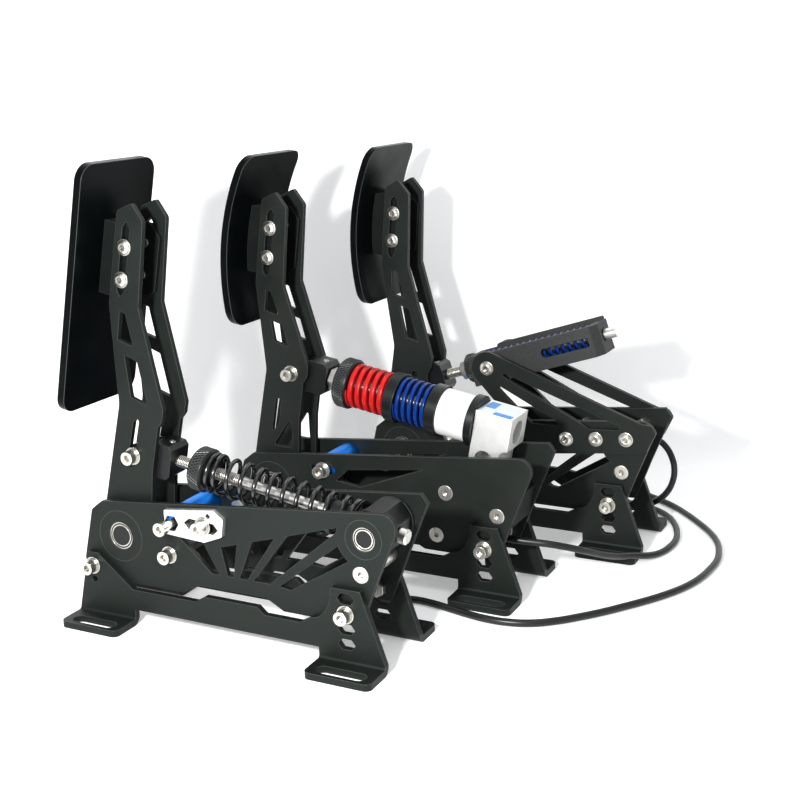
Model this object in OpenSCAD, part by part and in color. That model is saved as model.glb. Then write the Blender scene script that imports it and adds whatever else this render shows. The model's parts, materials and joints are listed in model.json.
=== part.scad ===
// Sim racing pedal set: throttle, brake and clutch, each a pedal that stands on its own four feet.
// Millimetres. x runs to the driver's right, y away from the driver, z up from the floor.
// A pedal is drawn about its own middle plane, with y from the front edge of its feet.
// An arm has a frame at its axle, a pad one at the arm's kink, and a rod one at its clevis bolt.

/* [Set] */
// Throttle to brake, across
brake_step = 146; // [125:1:180]
// Brake to clutch, across
clutch_step = 132; // [125:1:180]
// How far the brake stands behind the throttle
brake_back = 40; // [30:1:60]
// How far the clutch stands behind the throttle
clutch_back = 96; // [80:1:120]

/* [Foot brackets] */
// Length of a pedal's base over its feet
base_len = 258; // [254:1:264]
// Thickness of a bent foot bracket
bracket_t = 5; // [4:0.5:6]
// Inner radius of the bend between wall and foot
bend_r = 2; // [1:0.5:3]
// How far a foot stands out from the wall
foot_out = 24; // [22:1:32]
// Length of a foot
foot_len = 51; // [48:1:56]
// Radius of a foot's outer corners
foot_corner_r = 5; // [3:0.5:8]
// Length of the slot in a foot
foot_slot_len = 38; // [30:1:42]
// Width of the slot in a foot
foot_slot_w = 10.5; // [8:0.5:12]
// Rim between that slot and the foot's outer edge
foot_slot_rim = 3.2; // [2.5:0.1:5]
// Clear height under the rail between the feet
rail_gap = 12.5; // [9:0.5:15]
// Height of the rail between the towers
rail_h = 28; // [26:0.5:29]
// Height of the front tower
front_tower_h = 52; // [50:0.5:56]
// Height of the rear tower
rear_tower_h = 57.5; // [56:0.5:60]
// Pitch of the four tilt slots in the rear tower
tilt_pitch = 10.9; // [10:0.1:11.5]

/* [Side plates] */
// Thickness of a side plate
plate_t = 4; // [3:0.5:5]
// Clear width between a pedal's side plates
plate_gap = 41; // [41:0.5:46]
// Height of the plates' lower edge over the floor
plate_z = 31; // [30:0.5:32]
// Height of the plates' top edge at the rear
plate_top = 114; // [113:0.5:120]
// Height of the axle over the floor
axle_z = 66.3; // [65:0.1:68]
// Axle behind the front edge of the feet
axle_y = 38.2; // [37:0.1:40]
// Diameter of the discs that carry the axle bearings
disc_d = 38.6; // [34:0.2:40]
// Diameter of the discs that carry the throttle's rear pivot
rear_disc_d = 27.6; // [25:0.2:29]

/* [Arms] */
// Thickness of an arm plate
arm_t = 4; // [3:0.5:4]
// Clear width between the two plates of an arm
arm_gap = 24; // [23:0.5:25]
// Throttle arm, axle to tip
throttle_arm_len = 247; // [235:1:265]
// Brake arm, axle to tip
brake_arm_len = 240; // [230:1:260]
// Clutch arm, axle to tip
clutch_arm_len = 238; // [228:1:260]
// Radius of an arm's hub
hub_r = 21.5; // [19:0.5:22]
// Diameter of the axle in its bearings
axle_d = 15; // [13:0.5:16]

/* [Pads] */
// Width of a pad
pad_w = 84; // [70:1:90]
// Thickness of a pad
pad_t = 6; // [4:0.5:8]
// Length of the flat throttle pad
throttle_pad_len = 184; // [160:1:190]
// Length of the curved brake and clutch pads
short_pad_len = 137; // [120:1:145]
// Radius of the curved pads' front face
pad_bow_r = 195; // [180:5:400]
// Radius of a pad's corners
pad_corner_r = 12; // [6:1:20]
// Thickness of the channel that carries a pad
channel_t = 3.5; // [3:0.5:4]

/* [Rods] */
// Diameter of the throttle rod
throttle_rod_d = 8; // [7:0.5:8]
// Diameter of the brake rod
rod_d = 10; // [9:0.5:10]
// Diameter of the clutch rod
clutch_rod_d = 8; // [7:0.5:8.5]
// Height of a clevis
clevis_h = 26; // [22:1:28]
// Thickness of a clevis tine
tine_t = 5.5; // [4.5:0.5:6]
// Diameter of the throttle's knurled spring knob
throttle_knob_d = 32; // [30:1:34]
// Diameter of the brake's knurled collar
brake_knob_d = 40; // [38:1:42]
// Diameter of the clutch's preload knob
clutch_knob_d = 25; // [22:1:26]

/* [Springs] */
// Outer diameter of the throttle spring
throttle_spring_d = 30; // [29:0.5:30]
// Wire of the throttle spring
throttle_wire = 3; // [2.5:0.1:3.2]
// Turns of the throttle spring
throttle_turns = 13; // [10:1:16]
// Outer diameter of the brake's two die springs
die_spring_d = 36; // [34:0.5:37]
// Length of the brake's red spring
red_len = 33.5; // [32:0.5:35]
// Length of the brake's blue spring
blue_len = 27.5; // [26:0.5:29]
// Outer diameter of the clutch spring
clutch_spring_d = 22; // [20:0.25:22.5]
// Turns of the clutch spring
clutch_turns = 18; // [14:1:19]

/* [Brake load cell] */
// Width of the load cell
cell_w = 33; // [30:0.5:36]
// Length of the load cell along the rod
cell_len = 30; // [28:0.5:31]
// Diameter of the load cell's rod hole
cell_bore = 19; // [17:0.5:20]

/* [Clutch hinge] */
// Width of the clutch's spring housing
housing_w = 33; // [31:0.5:33]
// Height of the clutch's spring housing
housing_h = 26; // [25:0.5:28]
// Thickness of the link plates that carry the housing
link_t = 4; // [3:0.5:5]

/* [Hidden] */
$fn = 48;

// Colours
black = [0.09, 0.09, 0.10];
steel = [0.72, 0.73, 0.75];
bare_metal = [0.82, 0.82, 0.83];
blue = [0.10, 0.32, 0.72];
red = [0.78, 0.10, 0.10];
dark_plastic = [0.13, 0.13, 0.14];

// Clearances: a seated fit, a running fit, and the room that a moving piece keeps
press_gap = 0.02;
run_gap = 0.05;
move_gap = 0.5;

// Pedals
throttle = 0;
brake = 1;
clutch = 2;
plate_over = 10;
half_span = (brake_step + clutch_step) / 2;
pedal_x = [half_span, half_span - brake_step, -half_span];
set_len = base_len + plate_over + max(brake_back, clutch_back);
pedal_y = [-set_len / 2, brake_back - set_len / 2, clutch_back - set_len / 2];

// Layers from a pedal's middle plane outwards
arm_in = arm_gap / 2;
arm_out = arm_in + arm_t;
plate_in = plate_gap / 2;
plate_out = plate_in + plate_t;
wall_out = plate_out + bracket_t;
link_out = plate_out + link_t;
foot_edge = wall_out + foot_out;

// M6 fasteners
bolt_d = 6;
bolt_hole_r = bolt_d / 2 + 0.2;
tapped_r = bolt_d / 2 + press_gap;
head_r = 5;
flat_washer_t = 1.2;
spring_washer_t = 1.6;
washer_t = flat_washer_t + spring_washer_t;
washer_r = 6.5;
button_r = 6;
nut_t = 5;
nut_r = 10 / sqrt(3);
csk_r = 6;
csk_h = 3;
tap_depth = 11;

// Places of the screws in a base, (y, z)
front_bolt = [15, front_tower_h - 10];
rear_bolt = [base_len - 29, rear_tower_h - 17.5];
middle_bolt = [82, 58.5];
rear_screw = [base_len - 19.5, 67.5];
roller_at = [88, 84.5];
roller_r = 10;
limit_bolt = [115.5, 86];
lead_hole_r = 4.5;
throttle_lead_hole = [base_len - 68, 39.5];
clutch_lead_hole = [base_len - 15, 80];

// Arms: length, lean, widest place, waist, the bar between the windows, and the clevis bolt's place
arm_len = [throttle_arm_len, brake_arm_len, clutch_arm_len];
arm_lean = [5.1, 2.5, -0.6];
arm_wide = [98, 99, 80];
arm_reach = [30, 30, 27.5];
arm_waist = [98, 95, 91];
window_bar = [[146.5, 136], [143.5, 136], [137, 128]];
window_low = [103, 117, 97];
rod_pin = [[4.5, 61], [14.5, 94], [8, 56]];
clutch_spare_hole = [10.6, 66.3];

// Pads: the kink where the upper arm starts, its tilt, and what it carries
kink_u = -18.7;
kink_drop = 75;
upper_tilt = 5.5;
arm_slot_p = 9;
arm_slot_w = 6.5;
pad_screws_q = [[20, 44], [23, 47], [23, 47]];
pad_back = 13;
pad_q = [9, 36, 36];
pad_lens = [throttle_pad_len, short_pad_len, short_pad_len];
pad_fix = 15;

// Bearings: bore, outside and width, and how far they sit back from the plates' faces
trunnion_d = 12;
bearing_od = axle_d + 6;
rear_bearing_od = trunnion_d + 5;
bearing_w = 5;
bearing_recess = 0.8;
disc_w = plate_t + 3;
journal_step = 1;

// Rods: the clevis bolt in the pedal's frame, the far pivot and the angle between
function arm_point(p) = [
    axle_y + rod_pin[p][0] * cos(arm_lean[p]) + rod_pin[p][1] * sin(arm_lean[p]),
    axle_z - rod_pin[p][0] * sin(arm_lean[p]) + rod_pin[p][1] * cos(arm_lean[p])
];
rod_a = [arm_point(throttle), arm_point(brake), arm_point(clutch)];
rear_pivot = [base_len - 16.6, 92.9];
cell_at = [base_len * 216 / 258, 131];
housing_pivot = [122, 147];
rod_end = [rear_pivot, cell_at, housing_pivot];
function rod_angle(p) = atan2(rod_end[p][1] - rod_a[p][1], rod_end[p][0] - rod_a[p][0]);
function rod_reach(p) = norm(rod_end[p] - rod_a[p]);

// Clevis
clevis_w = arm_gap - 2;
tine_back = 13;
block_end = 29;

// Throttle rod, measured from its clevis bolt
throttle_knob_s = 46;
throttle_knob_t = 12;
guide_len = 30;
end_collar_r = 5.6;
guide_s = rod_reach(throttle) - guide_len / 2;
guide_bore_r = throttle_rod_d / 2 + 1.4;
guide_tube_r = 9.2;
guide_tube_len = 26;
guide_w = 30;
guide_h = 34;

// Brake rod
brake_nut_s = block_end + 1;
brake_nut_t = 8;
brake_knob_s = brake_nut_s + brake_nut_t + 1;
brake_knob_t = 12;
red_s = brake_knob_s + brake_knob_t;
separator_s = red_s + red_len;
separator_t = 9;
blue_s = separator_s + separator_t;
cup_s = blue_s + blue_len;
cup_t = 9;
sleeve_s = cup_s + cup_t;
cell_s = rod_reach(brake);
ring_t = 6.5;
ring_s = cell_s - move_gap - ring_t;
die_radial = 6.5;
red_axial = 3.9;
blue_axial = 3;
die_turns = 5;
cell_top = 14;
cell_foot = 46;
cell_waist = 6.5;

// Clutch rod and its housing
housing_s = rod_reach(clutch) - 20.8;
housing_len = 111.5;
housing_top = 11.2;
housing_rise = 3;
front_block = 7;
cap_t = 8.4;
cap_cut = 6;
clutch_tail = 10.7;
clutch_bore_r = clutch_rod_d / 2 + 1.3;
nose_r = 8;
clutch_knob_t = 7.5;
clutch_hex_t = 6.5;
piston_s = housing_s + front_block + move_gap;
piston_t = 4;
housing_wall = 4;
housing_floor = 2.5;
clutch_wire = 2.5;
clutch_pin_d = 8;

// Springs end a little off their seats
seat_gap = 0.05;
coil_gap = 0.8;

// Leads and their routes over the floor; y is measured from the set's rear end
lead_d = 5.5;
lead_sides = 8;
throttle_route = [
    [110.5, -174, 39.5], [103, -174, 39.5], [95.5, -174, 37], [89, -173.5, 31], [83, -173, 22.5],
    [77, -171.5, 14], [70, -168, 7.5], [62, -162, 4], [55, -153, 3], [51, -141, 3], [51.5, -127, 3],
    [55, -111, 3], [59, -94, 3], [61.5, -77, 3], [60.5, -60, 3], [55, -44, 3], [45, -30, 3],
    [32, -17, 3], [17, -4, 3], [1, 8, 3], [-16, 20, 3], [-34, 31, 3], [-53, 40, 3], [-73, 46, 3],
    [-94, 49, 3], [-115, 50, 3], [-136, 47, 3], [-156, 41, 3], [-175, 31, 3], [-193, 18, 3],
    [-210, 4, 3], [-226, -11, 3], [-240, -28, 3], [-251, -46, 3], [-258, -65, 3]
];
brake_route = [
    [-7, -98, 50], [-7, -97, 45.5], [-7, -94, 42], [-7, -89.5, 40], [-7, -83, 39.5], [-8, -75, 39],
    [-10, -65, 38.5], [-13, -55, 37.5], [-18.5, -46, 35], [-27, -38, 31], [-38, -32, 26],
    [-50, -27, 20.5], [-62, -22, 15.5], [-74, -17, 11.5], [-86, -11, 8.5], [-99, -3, 5], [-114, 4, 3],
    [-132, 8, 3], [-150, 8, 3], [-168, 4, 3], [-186, -3, 3], [-202, -13, 3], [-214, -26, 3],
    [-221, -41, 3], [-224, -57, 3]
];
clutch_route = [
    [-167.5, -25, 80], [-174, -25, 80], [-179.5, -23, 80], [-183.5, -18, 78], [-185, -11, 72],
    [-184.5, -5, 62], [-184, -3, 52], [-183.5, -4.5, 41], [-183.5, -9.5, 31], [-184.5, -17.5, 23],
    [-186, -27, 17.5], [-189, -37, 13], [-193, -47, 9], [-197.5, -58, 5.5], [-201.5, -69, 3.5],
    [-204.5, -80, 3], [-206, -91, 3]
];
plug_len = 30;

// Placing

// A pedal's own frame
module at(p) {
    translate([pedal_x[p], pedal_y[p], 0])
        children();
}

module both_sides() {
    children();
    mirror([1, 0, 0])
        children();
}

// Axle frame of a pedal's arm: y across the arm, z along it
module on_arm(p) {
    at(p)
        translate([0, axle_y, axle_z])
            rotate([-arm_lean[p], 0, 0])
                children();
}

// Frame of the upper arm, from its kink: y towards the rear, z along it
module on_upper(p) {
    on_arm(p)
        translate([0, kink_u, arm_len[p] - kink_drop])
            rotate([-upper_tilt, 0, 0])
                children();
}

// Frame of a rod: y along it from the clevis bolt
module on_rod(p) {
    at(p)
        translate([0, rod_a[p][0], rod_a[p][1]])
            rotate([rod_angle(p), 0, 0])
                children();
}

// Point d along a pad from its middle, on its front face, with y into the pad
module on_pad(p, d) {
    if (p == throttle)
        translate([0, -pad_back - pad_t, pad_q[p] + d])
            children();
    else
        translate([0, pad_bow_r - pad_back - pad_t, pad_q[p]])
            rotate([-asin(d / pad_bow_r), 0, 0])
                translate([0, -pad_bow_r, 0])
                    children();
}

// A (y, z) outline, extruded across the pedal from x0 to x1
module across(x0, x1) {
    translate([x0, 0, 0])
        rotate([90, 0, 90])
            linear_extrude(x1 - x0)
                children();
}

// An (x, z) outline, extruded along y
module lengthwise(y0, y1) {
    translate([0, y1, 0])
        rotate([90, 0, 0])
            linear_extrude(y1 - y0)
                children();
}

module bar_x(x0, x1, r) {
    translate([x0, 0, 0])
        rotate([0, 90, 0])
            cylinder(h = x1 - x0, r = r);
}

module bar_y(y0, y1, r, sides = $fn) {
    translate([0, y0, 0])
        rotate([-90, 0, 0])
            cylinder(h = y1 - y0, r = r, $fn = sides);
}

module cone_y(y0, y1, r0, r1) {
    translate([0, y0, 0])
        rotate([-90, 0, 0])
            cylinder(h = y1 - y0, r1 = r0, r2 = r1);
}

// A place on the side plates, (y, z)
module spot(yz) {
    translate([0, yz[0], yz[1]])
        children();
}

// Outlines

function unit(v) = v / norm(v);

// Points of a corner b between a and c, rounded with radius r
function round_corner(a, b, c, r) =
    let (
        u = unit(a - b),
        v = unit(c - b),
        half = acos(u * v) / 2,
        centre = b + unit(u + v) * r / sin(half),
        from = b + u * r / tan(half) - centre,
        to = b + v * r / tan(half) - centre,
        start = atan2(from[1], from[0]),
        turn = atan2(from[0] * to[1] - from[1] * to[0], from * to),
        steps = 6
    )
    [for (i = [0 : steps]) centre + r * [cos(start + turn * i / steps), sin(start + turn * i / steps)]];

// Outline from [y, z, radius] corners
function rounded(corners) =
    let (n = len(corners), flat = [for (c = corners) [c[0], c[1]]])
    [
        for (i = [0 : n - 1])
            each corners[i][2] == 0
                ? [flat[i]]
                : round_corner(flat[(i + n - 1) % n], flat[i], flat[(i + 1) % n], corners[i][2])
    ];

// A slot along the first axis, round at its ends
module slot_2d(length, width) {
    square([length - width, width], center = true);
    for (x = [-1, 1])
        translate([x * (length - width) / 2, 0])
            circle(d = width);
}

// A slot along the first axis, pointed at its ends
module pointed_slot_2d(length, width, point) {
    polygon([
        [-length / 2, 0], [-length / 2 + point, -width / 2], [length / 2 - point, -width / 2],
        [length / 2, 0], [length / 2 - point, width / 2], [-length / 2 + point, width / 2]
    ]);
}

// Fasteners: a screw's seat is at x = 0 and its shank runs to -x

module socket(af, depth, top) {
    bar = af / sqrt(3);
    translate([top - depth, 0, 0])
        rotate([0, 90, 0])
            cylinder(h = depth + 1, r = bar, $fn = 6);
}

module cap_screw(length) {
    difference() {
        bar_x(0, bolt_d, head_r);
        socket(5, 3, bolt_d);
    }
    bar_x(-length, 0, bolt_d / 2);
}

module button_screw(length, d = bolt_d) {
    difference() {
        union() {
            bar_x(0, 0.9, button_r);
            translate([0.9, 0, 0])
                rotate([0, 90, 0])
                    cylinder(h = 1.2, r1 = button_r - 0.6, r2 = 4.8);
            translate([2.1, 0, 0])
                rotate([0, 90, 0])
                    cylinder(h = 1.1, r1 = 4.8, r2 = 3.2);
        }
        socket(4, 2, 3.2);
    }
    bar_x(-length, 0, d / 2);
}

// Countersunk: its head is flush with x = 0
module csk_screw(length) {
    difference() {
        translate([-csk_h, 0, 0])
            rotate([0, 90, 0])
                cylinder(h = csk_h, r1 = bolt_d / 2, r2 = csk_r);
        socket(4, 2, 0);
    }
    bar_x(-length, -csk_h, bolt_d / 2);
}

module csk_hole(face) {
    translate([face - csk_h, 0, 0])
        rotate([0, 90, 0])
            cylinder(h = csk_h, r1 = bolt_d / 2 + press_gap, r2 = csk_r + press_gap);
}

// Flat washer with a spring washer on it
module washer() {
    rotate([0, 90, 0])
        difference() {
            union() {
                cylinder(h = flat_washer_t, r = washer_r);
                cylinder(h = washer_t, r = head_r + 0.4);
            }
            translate([0, 0, -1])
                cylinder(h = washer_t + 2, r = bolt_hole_r);
        }
}

// Nut from x = -nut_t to its seat at x = 0
module nut() {
    translate([-nut_t, 0, 0])
        rotate([0, 90, 0])
            difference() {
                cylinder(h = nut_t, r = nut_r, $fn = 6);
                translate([0, 0, -1])
                    cylinder(h = nut_t + 2, r = tapped_r);
            }
}

// Cap screw and washer on a face, through to a nut behind a side plate's inner face
module bolted(face) {
    translate([face, 0, 0])
        washer();
    translate([face + washer_t, 0, 0])
        cap_screw(face + washer_t - plate_in + nut_t);
    translate([plate_in, 0, 0])
        nut();
}

// Foot brackets

module wall_2d() {
    rise = 16;
    difference() {
        polygon(concat(
            [
                [0, bracket_t + bend_r], [10, front_tower_h], [19.5, front_tower_h],
                [50, rail_h], [106, rail_h], [114, rail_h + 5],
                [base_len - 100, rail_h + 5], [base_len - 94, rail_h], [base_len - 65, rail_h]
            ],
            [
                for (a = [0 : 15 : 90])
                    [base_len - 56 + rise * sin(a), rear_tower_h - (rear_tower_h - rail_h - 5) * cos(a)]
            ],
            [
                [base_len - 18, rear_tower_h], [base_len, bracket_t + bend_r],
                [base_len - foot_len, bracket_t + bend_r], [base_len - foot_len, rail_gap],
                [foot_len, rail_gap], [foot_len, bracket_t + bend_r]
            ]
        ));
        translate(front_bolt)
            circle(r = bolt_hole_r);
        translate(front_bolt + [0.5, -11])
            circle(r = 2.5);
        for (i = [-1 : 2])
            translate(rear_bolt - [0, i * tilt_pitch])
                pointed_slot_2d(13.4, 7.6, 3);
    }
}

module foot() {
    turn_r = bracket_t + bend_r;
    lengthwise(0, foot_len)
        translate([wall_out + bend_r, turn_r])
            intersection() {
                difference() {
                    circle(r = turn_r);
                    circle(r = bend_r);
                }
                translate([-turn_r, -turn_r])
                    square(turn_r);
            }
    linear_extrude(bracket_t)
        difference() {
            translate([wall_out + bend_r, 0])
                foot_2d(foot_out - bend_r);
            translate([foot_edge - foot_slot_rim - foot_slot_w / 2, foot_len / 2])
                rotate(90)
                    slot_2d(foot_slot_len, foot_slot_w);
        }
}

module foot_2d(w) {
    square([w - foot_corner_r, foot_len]);
    translate([0, foot_corner_r])
        square([w, foot_len - 2 * foot_corner_r]);
    for (y = [foot_corner_r, foot_len - foot_corner_r])
        translate([w - foot_corner_r, y])
            circle(r = foot_corner_r);
}

module foot_bracket() {
    color(black) {
        across(plate_out, wall_out)
            wall_2d();
        for (y = [0, base_len - foot_len])
            translate([0, y, 0])
                foot();
    }
}

module throttle_right_foot_bracket() {
    at(throttle)
        foot_bracket();
}

module throttle_left_foot_bracket() {
    at(throttle)
        mirror([1, 0, 0])
            foot_bracket();
}

module brake_right_foot_bracket() {
    at(brake)
        foot_bracket();
}

module brake_left_foot_bracket() {
    at(brake)
        mirror([1, 0, 0])
            foot_bracket();
}

module clutch_right_foot_bracket() {
    at(clutch)
        foot_bracket();
}

module clutch_left_foot_bracket() {
    at(clutch)
        mirror([1, 0, 0])
            foot_bracket();
}

// Side plates

// Outline; the rear top corner is round on a right plate and cut off on a left one
module plate_2d(cut) {
    front = [22.5, 91.5];
    corner = [base_len + plate_over + 3, plate_top];
    below = [base_len - 6.4, 66.4];
    off = 8;
    along = corner + off * unit(front - corner);
    down = corner + off * unit(below - corner);
    polygon(rounded(concat(
        [[3.6, 45, 3], [12.7, 83.8, 4], [front[0], front[1], 4]],
        cut ? [[along[0], along[1], 0.5], [down[0], down[1], 0.5]] : [[corner[0], corner[1], 10]],
        [
            [below[0], below[1], 0], [base_len - 13, 49, 0], [base_len - 20, plate_z, 4],
            [base_len - 81, plate_z, 3], [base_len - 95, plate_z + 7.5, 3],
            [107, plate_z + 7.5, 3], [92, plate_z, 3], [14, plate_z, 3], [6, plate_z + 5, 3]
        ]
    )));
}

// Strip between two lines that cross the windows' foot at y0 and y1 and lean by a0 and a1
module ray_2d(y0, a0, y1, a1) {
    low = 49.5;
    function on(y, a, z) = [y + (z - low) * tan(a), z];
    polygon([on(y0, a0, 40), on(y1, a1, 40), on(y1, a1, 105), on(y0, a0, 105)]);
}

// Five windows that fan out like rays, under the plate's top edge
module fan_windows_2d() {
    low = 49.5;
    function top(y) = [y, 70.6 + 0.295 * (y - 126.8)];
    intersection() {
        ray_2d(118, -49, 124.6, -30);
        translate([60, low])
            square([70, 76 - low]);
    }
    difference() {
        intersection() {
            union() {
                ray_2d(131.5, -13, 136.5, 9);
                ray_2d(141.5, 22, 148, 34.5);
                ray_2d(153, 37.7, 166.5, 50);
                ray_2d(175, 52.4, 186.5, 58.6);
            }
            polygon([[110, low], [170, low], [200, low - 4], [240, low - 4], top(240), top(110)]);
        }
        translate(rear_pivot)
            circle(r = rear_disc_d / 2 + 7);
    }
}

module brake_window_2d() {
    polygon([[100, 77], [121, 74], [143, 82], [177, 95], [110.5, 87]]);
}

// Right plate, or a left one before it is mirrored; windows and countersunk places come from the pedal
module side_plate(csk, left) {
    color(black)
        difference() {
            across(plate_in, plate_out)
                difference() {
                    plate_2d(left);
                    for (yz = [front_bolt, rear_bolt, middle_bolt])
                        translate(yz)
                            circle(r = bolt_hole_r);
                    translate([axle_y, axle_z])
                        circle(d = disc_d);
                    translate(roller_at)
                        slot_2d(22, 7);
                    for (yz = csk)
                        translate(yz)
                            circle(r = bolt_hole_r);
                    children();
                }
            for (yz = csk)
                spot(yz)
                    csk_hole(plate_out);
        }
}

module throttle_plate(left = false) {
    side_plate([rear_screw], left) {
        fan_windows_2d();
        translate(rear_pivot)
            circle(d = rear_disc_d);
        translate(limit_bolt)
            circle(r = bolt_hole_r);
    }
}

module brake_plate(left = false) {
    side_plate(mount_screws, left)
        brake_window_2d();
}

module clutch_plate(left = false) {
    side_plate([rear_screw], left) {
        fan_windows_2d();
        for (yz = link_screws)
            translate(yz)
                circle(r = bolt_hole_r);
    }
}

module throttle_right_side_plate() {
    at(throttle)
        throttle_plate();
}

module throttle_left_side_plate() {
    color(black)
        at(throttle)
            difference() {
                mirror([1, 0, 0])
                    throttle_plate(true);
                spot(throttle_lead_hole)
                    bar_x(-plate_out - 1, -plate_in + 1, lead_hole_r);
            }
}

module brake_right_side_plate() {
    at(brake)
        brake_plate();
}

module brake_left_side_plate() {
    at(brake)
        mirror([1, 0, 0])
            brake_plate(true);
}

module clutch_right_side_plate() {
    at(clutch)
        clutch_plate();
}

module clutch_left_side_plate() {
    color(black)
        at(clutch)
            difference() {
                mirror([1, 0, 0])
                    clutch_plate(true);
                spot(clutch_lead_hole)
                    bar_x(-plate_out - 1, -plate_in + 1, lead_hole_r);
            }
}

// Pieces between the side plates

module spreader() {
    difference() {
        bar_x(-plate_in, plate_in, 6);
        both_sides()
            bar_x(plate_in - tap_depth - 1, plate_in + 1, tapped_r);
    }
}

module spreaders() {
    color(steel) {
        for (p = [throttle, brake, clutch])
            at(p)
                spot(middle_bolt)
                    spreader();
        for (p = [throttle, clutch])
            at(p)
                spot(rear_screw)
                    spreader();
    }
}

module stop_rollers() {
    color(blue)
        for (p = [throttle, brake, clutch])
            at(p)
                spot(roller_at)
                    difference() {
                        bar_x(-plate_in, plate_in, roller_r);
                        both_sides()
                            bar_x(plate_in - tap_depth - 1, plate_in + 1, tapped_r);
                    }
}

// Flush disc with a shoulder behind the plate and a seat for the bearing
module bearing_disc(d, od) {
    seat = plate_out - bearing_recess - bearing_w;
    difference() {
        union() {
            bar_x(plate_in, plate_out, d / 2 - press_gap);
            bar_x(plate_out - disc_w, plate_in, d / 2 + 3);
        }
        bar_x(seat, plate_out + 1, od / 2 + press_gap);
        bar_x(plate_in - disc_w, plate_out, od / 2 - journal_step);
    }
}

module bearing_discs() {
    color(dark_plastic) {
        for (p = [throttle, brake, clutch])
            at(p)
                spot([axle_y, axle_z])
                    both_sides()
                        bearing_disc(disc_d, bearing_od);
        at(throttle)
            spot(rear_pivot)
                both_sides()
                    bearing_disc(rear_disc_d, rear_bearing_od);
    }
}

module bearing(od, bore) {
    x1 = plate_out - bearing_recess;
    race = (od - bore) / 6;
    difference() {
        bar_x(x1 - bearing_w, x1, od / 2);
        bar_x(x1 - bearing_w - 1, x1 + 1, bore / 2);
        for (x = [x1 - bearing_w - 1, x1 - 0.4])
            difference() {
                bar_x(x, x + 1.4, od / 2 - race);
                bar_x(x - 1, x + 2.4, bore / 2 + race);
            }
    }
}

module axle_bearings() {
    color(steel) {
        for (p = [throttle, brake, clutch])
            at(p)
                spot([axle_y, axle_z])
                    both_sides()
                        bearing(bearing_od, axle_d);
        at(throttle)
            spot(rear_pivot)
                both_sides()
                    bearing(rear_bearing_od, trunnion_d);
    }
}

// Screws of the bases

link_screws = [[base_len - 65.5, 92.5], [base_len - 40, 95], [base_len - 14.5, 97.3]];
function from_rod(p, s, n) = rod_a[p]
    + s * [cos(rod_angle(p)), sin(rod_angle(p))]
    + n * [-sin(rod_angle(p)), cos(rod_angle(p))];
mount_screws = [
    from_rod(brake, cell_s - 11, -55), from_rod(brake, cell_s - 13, -91), from_rod(brake, cell_s + 33, -60.5)
];

module base_screws() {
    plate_screw = plate_t + tap_depth;
    limit_out = plate_out + limit_t;
    proud = 9;
    color(steel) {
        for (p = [throttle, brake, clutch])
            at(p)
                both_sides() {
                    for (yz = [front_bolt, rear_bolt])
                        spot(yz)
                            bolted(wall_out);
                    spot(middle_bolt) {
                        translate([plate_out, 0, 0])
                            washer();
                        translate([plate_out + washer_t, 0, 0])
                            cap_screw(washer_t + plate_screw);
                    }
                    if (p != throttle)
                        spot(roller_at) {
                            translate([plate_out, 0, 0])
                                washer();
                            translate([plate_out + washer_t, 0, 0])
                                cap_screw(washer_t + plate_screw);
                        }
                    if (p != brake)
                        spot(rear_screw)
                            translate([plate_out, 0, 0])
                                csk_screw(plate_screw);
                }
        at(throttle)
            both_sides() {
                spot(roller_at)
                    translate([limit_out + proud, 0, 0])
                        cap_screw(proud + limit_t + plate_screw);
                spot(limit_bolt)
                    bolted(limit_out);
            }
        at(brake)
            both_sides()
                for (yz = mount_screws)
                    spot(yz)
                        translate([plate_out, 0, 0])
                            csk_screw(plate_screw);
        at(clutch)
            both_sides() {
                for (yz = link_screws)
                    spot(yz) {
                        translate([link_out, 0, 0])
                            button_screw(link_out - plate_in + nut_t);
                        translate([plate_in, 0, 0])
                            nut();
                    }
                spot(housing_pivot)
                    translate([link_out, 0, 0])
                        button_screw(link_out - clutch_pin_in, clutch_pin_d);
            }
    }
}

// Arms

module arm_2d(p) {
    tip = arm_len[p];
    wide = arm_wide[p];
    reach = arm_reach[p];
    kink = tip - kink_drop;
    difference() {
        union() {
            circle(r = hub_r);
            polygon(rounded([
                [0, tip, 2], [10, tip - 12, 5], [7, kink, 0], [reach, wide + 2, 3], [reach - 1, wide - 7, 1],
                [reach - 4.5, wide - 12, 3], [hub_r, wide - 46, 0], [hub_r, 0, 0], [-hub_r, 0, 0],
                [1 - hub_r, 18, 6], [-9, arm_waist[p], 20], [kink_u, kink, 5], [-12.4, tip - 6.5, 4]
            ]));
        }
        translate([kink_u, kink])
            rotate(-upper_tilt)
                translate([arm_slot_p, 35])
                    rotate(90)
                        pointed_slot_2d(55, arm_slot_w, 4);
        arm_windows_2d(p);
        translate(rod_pin[p])
            circle(r = bolt_d / 2 + press_gap);
        circle(r = axle_r + press_gap);
    }
}

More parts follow.
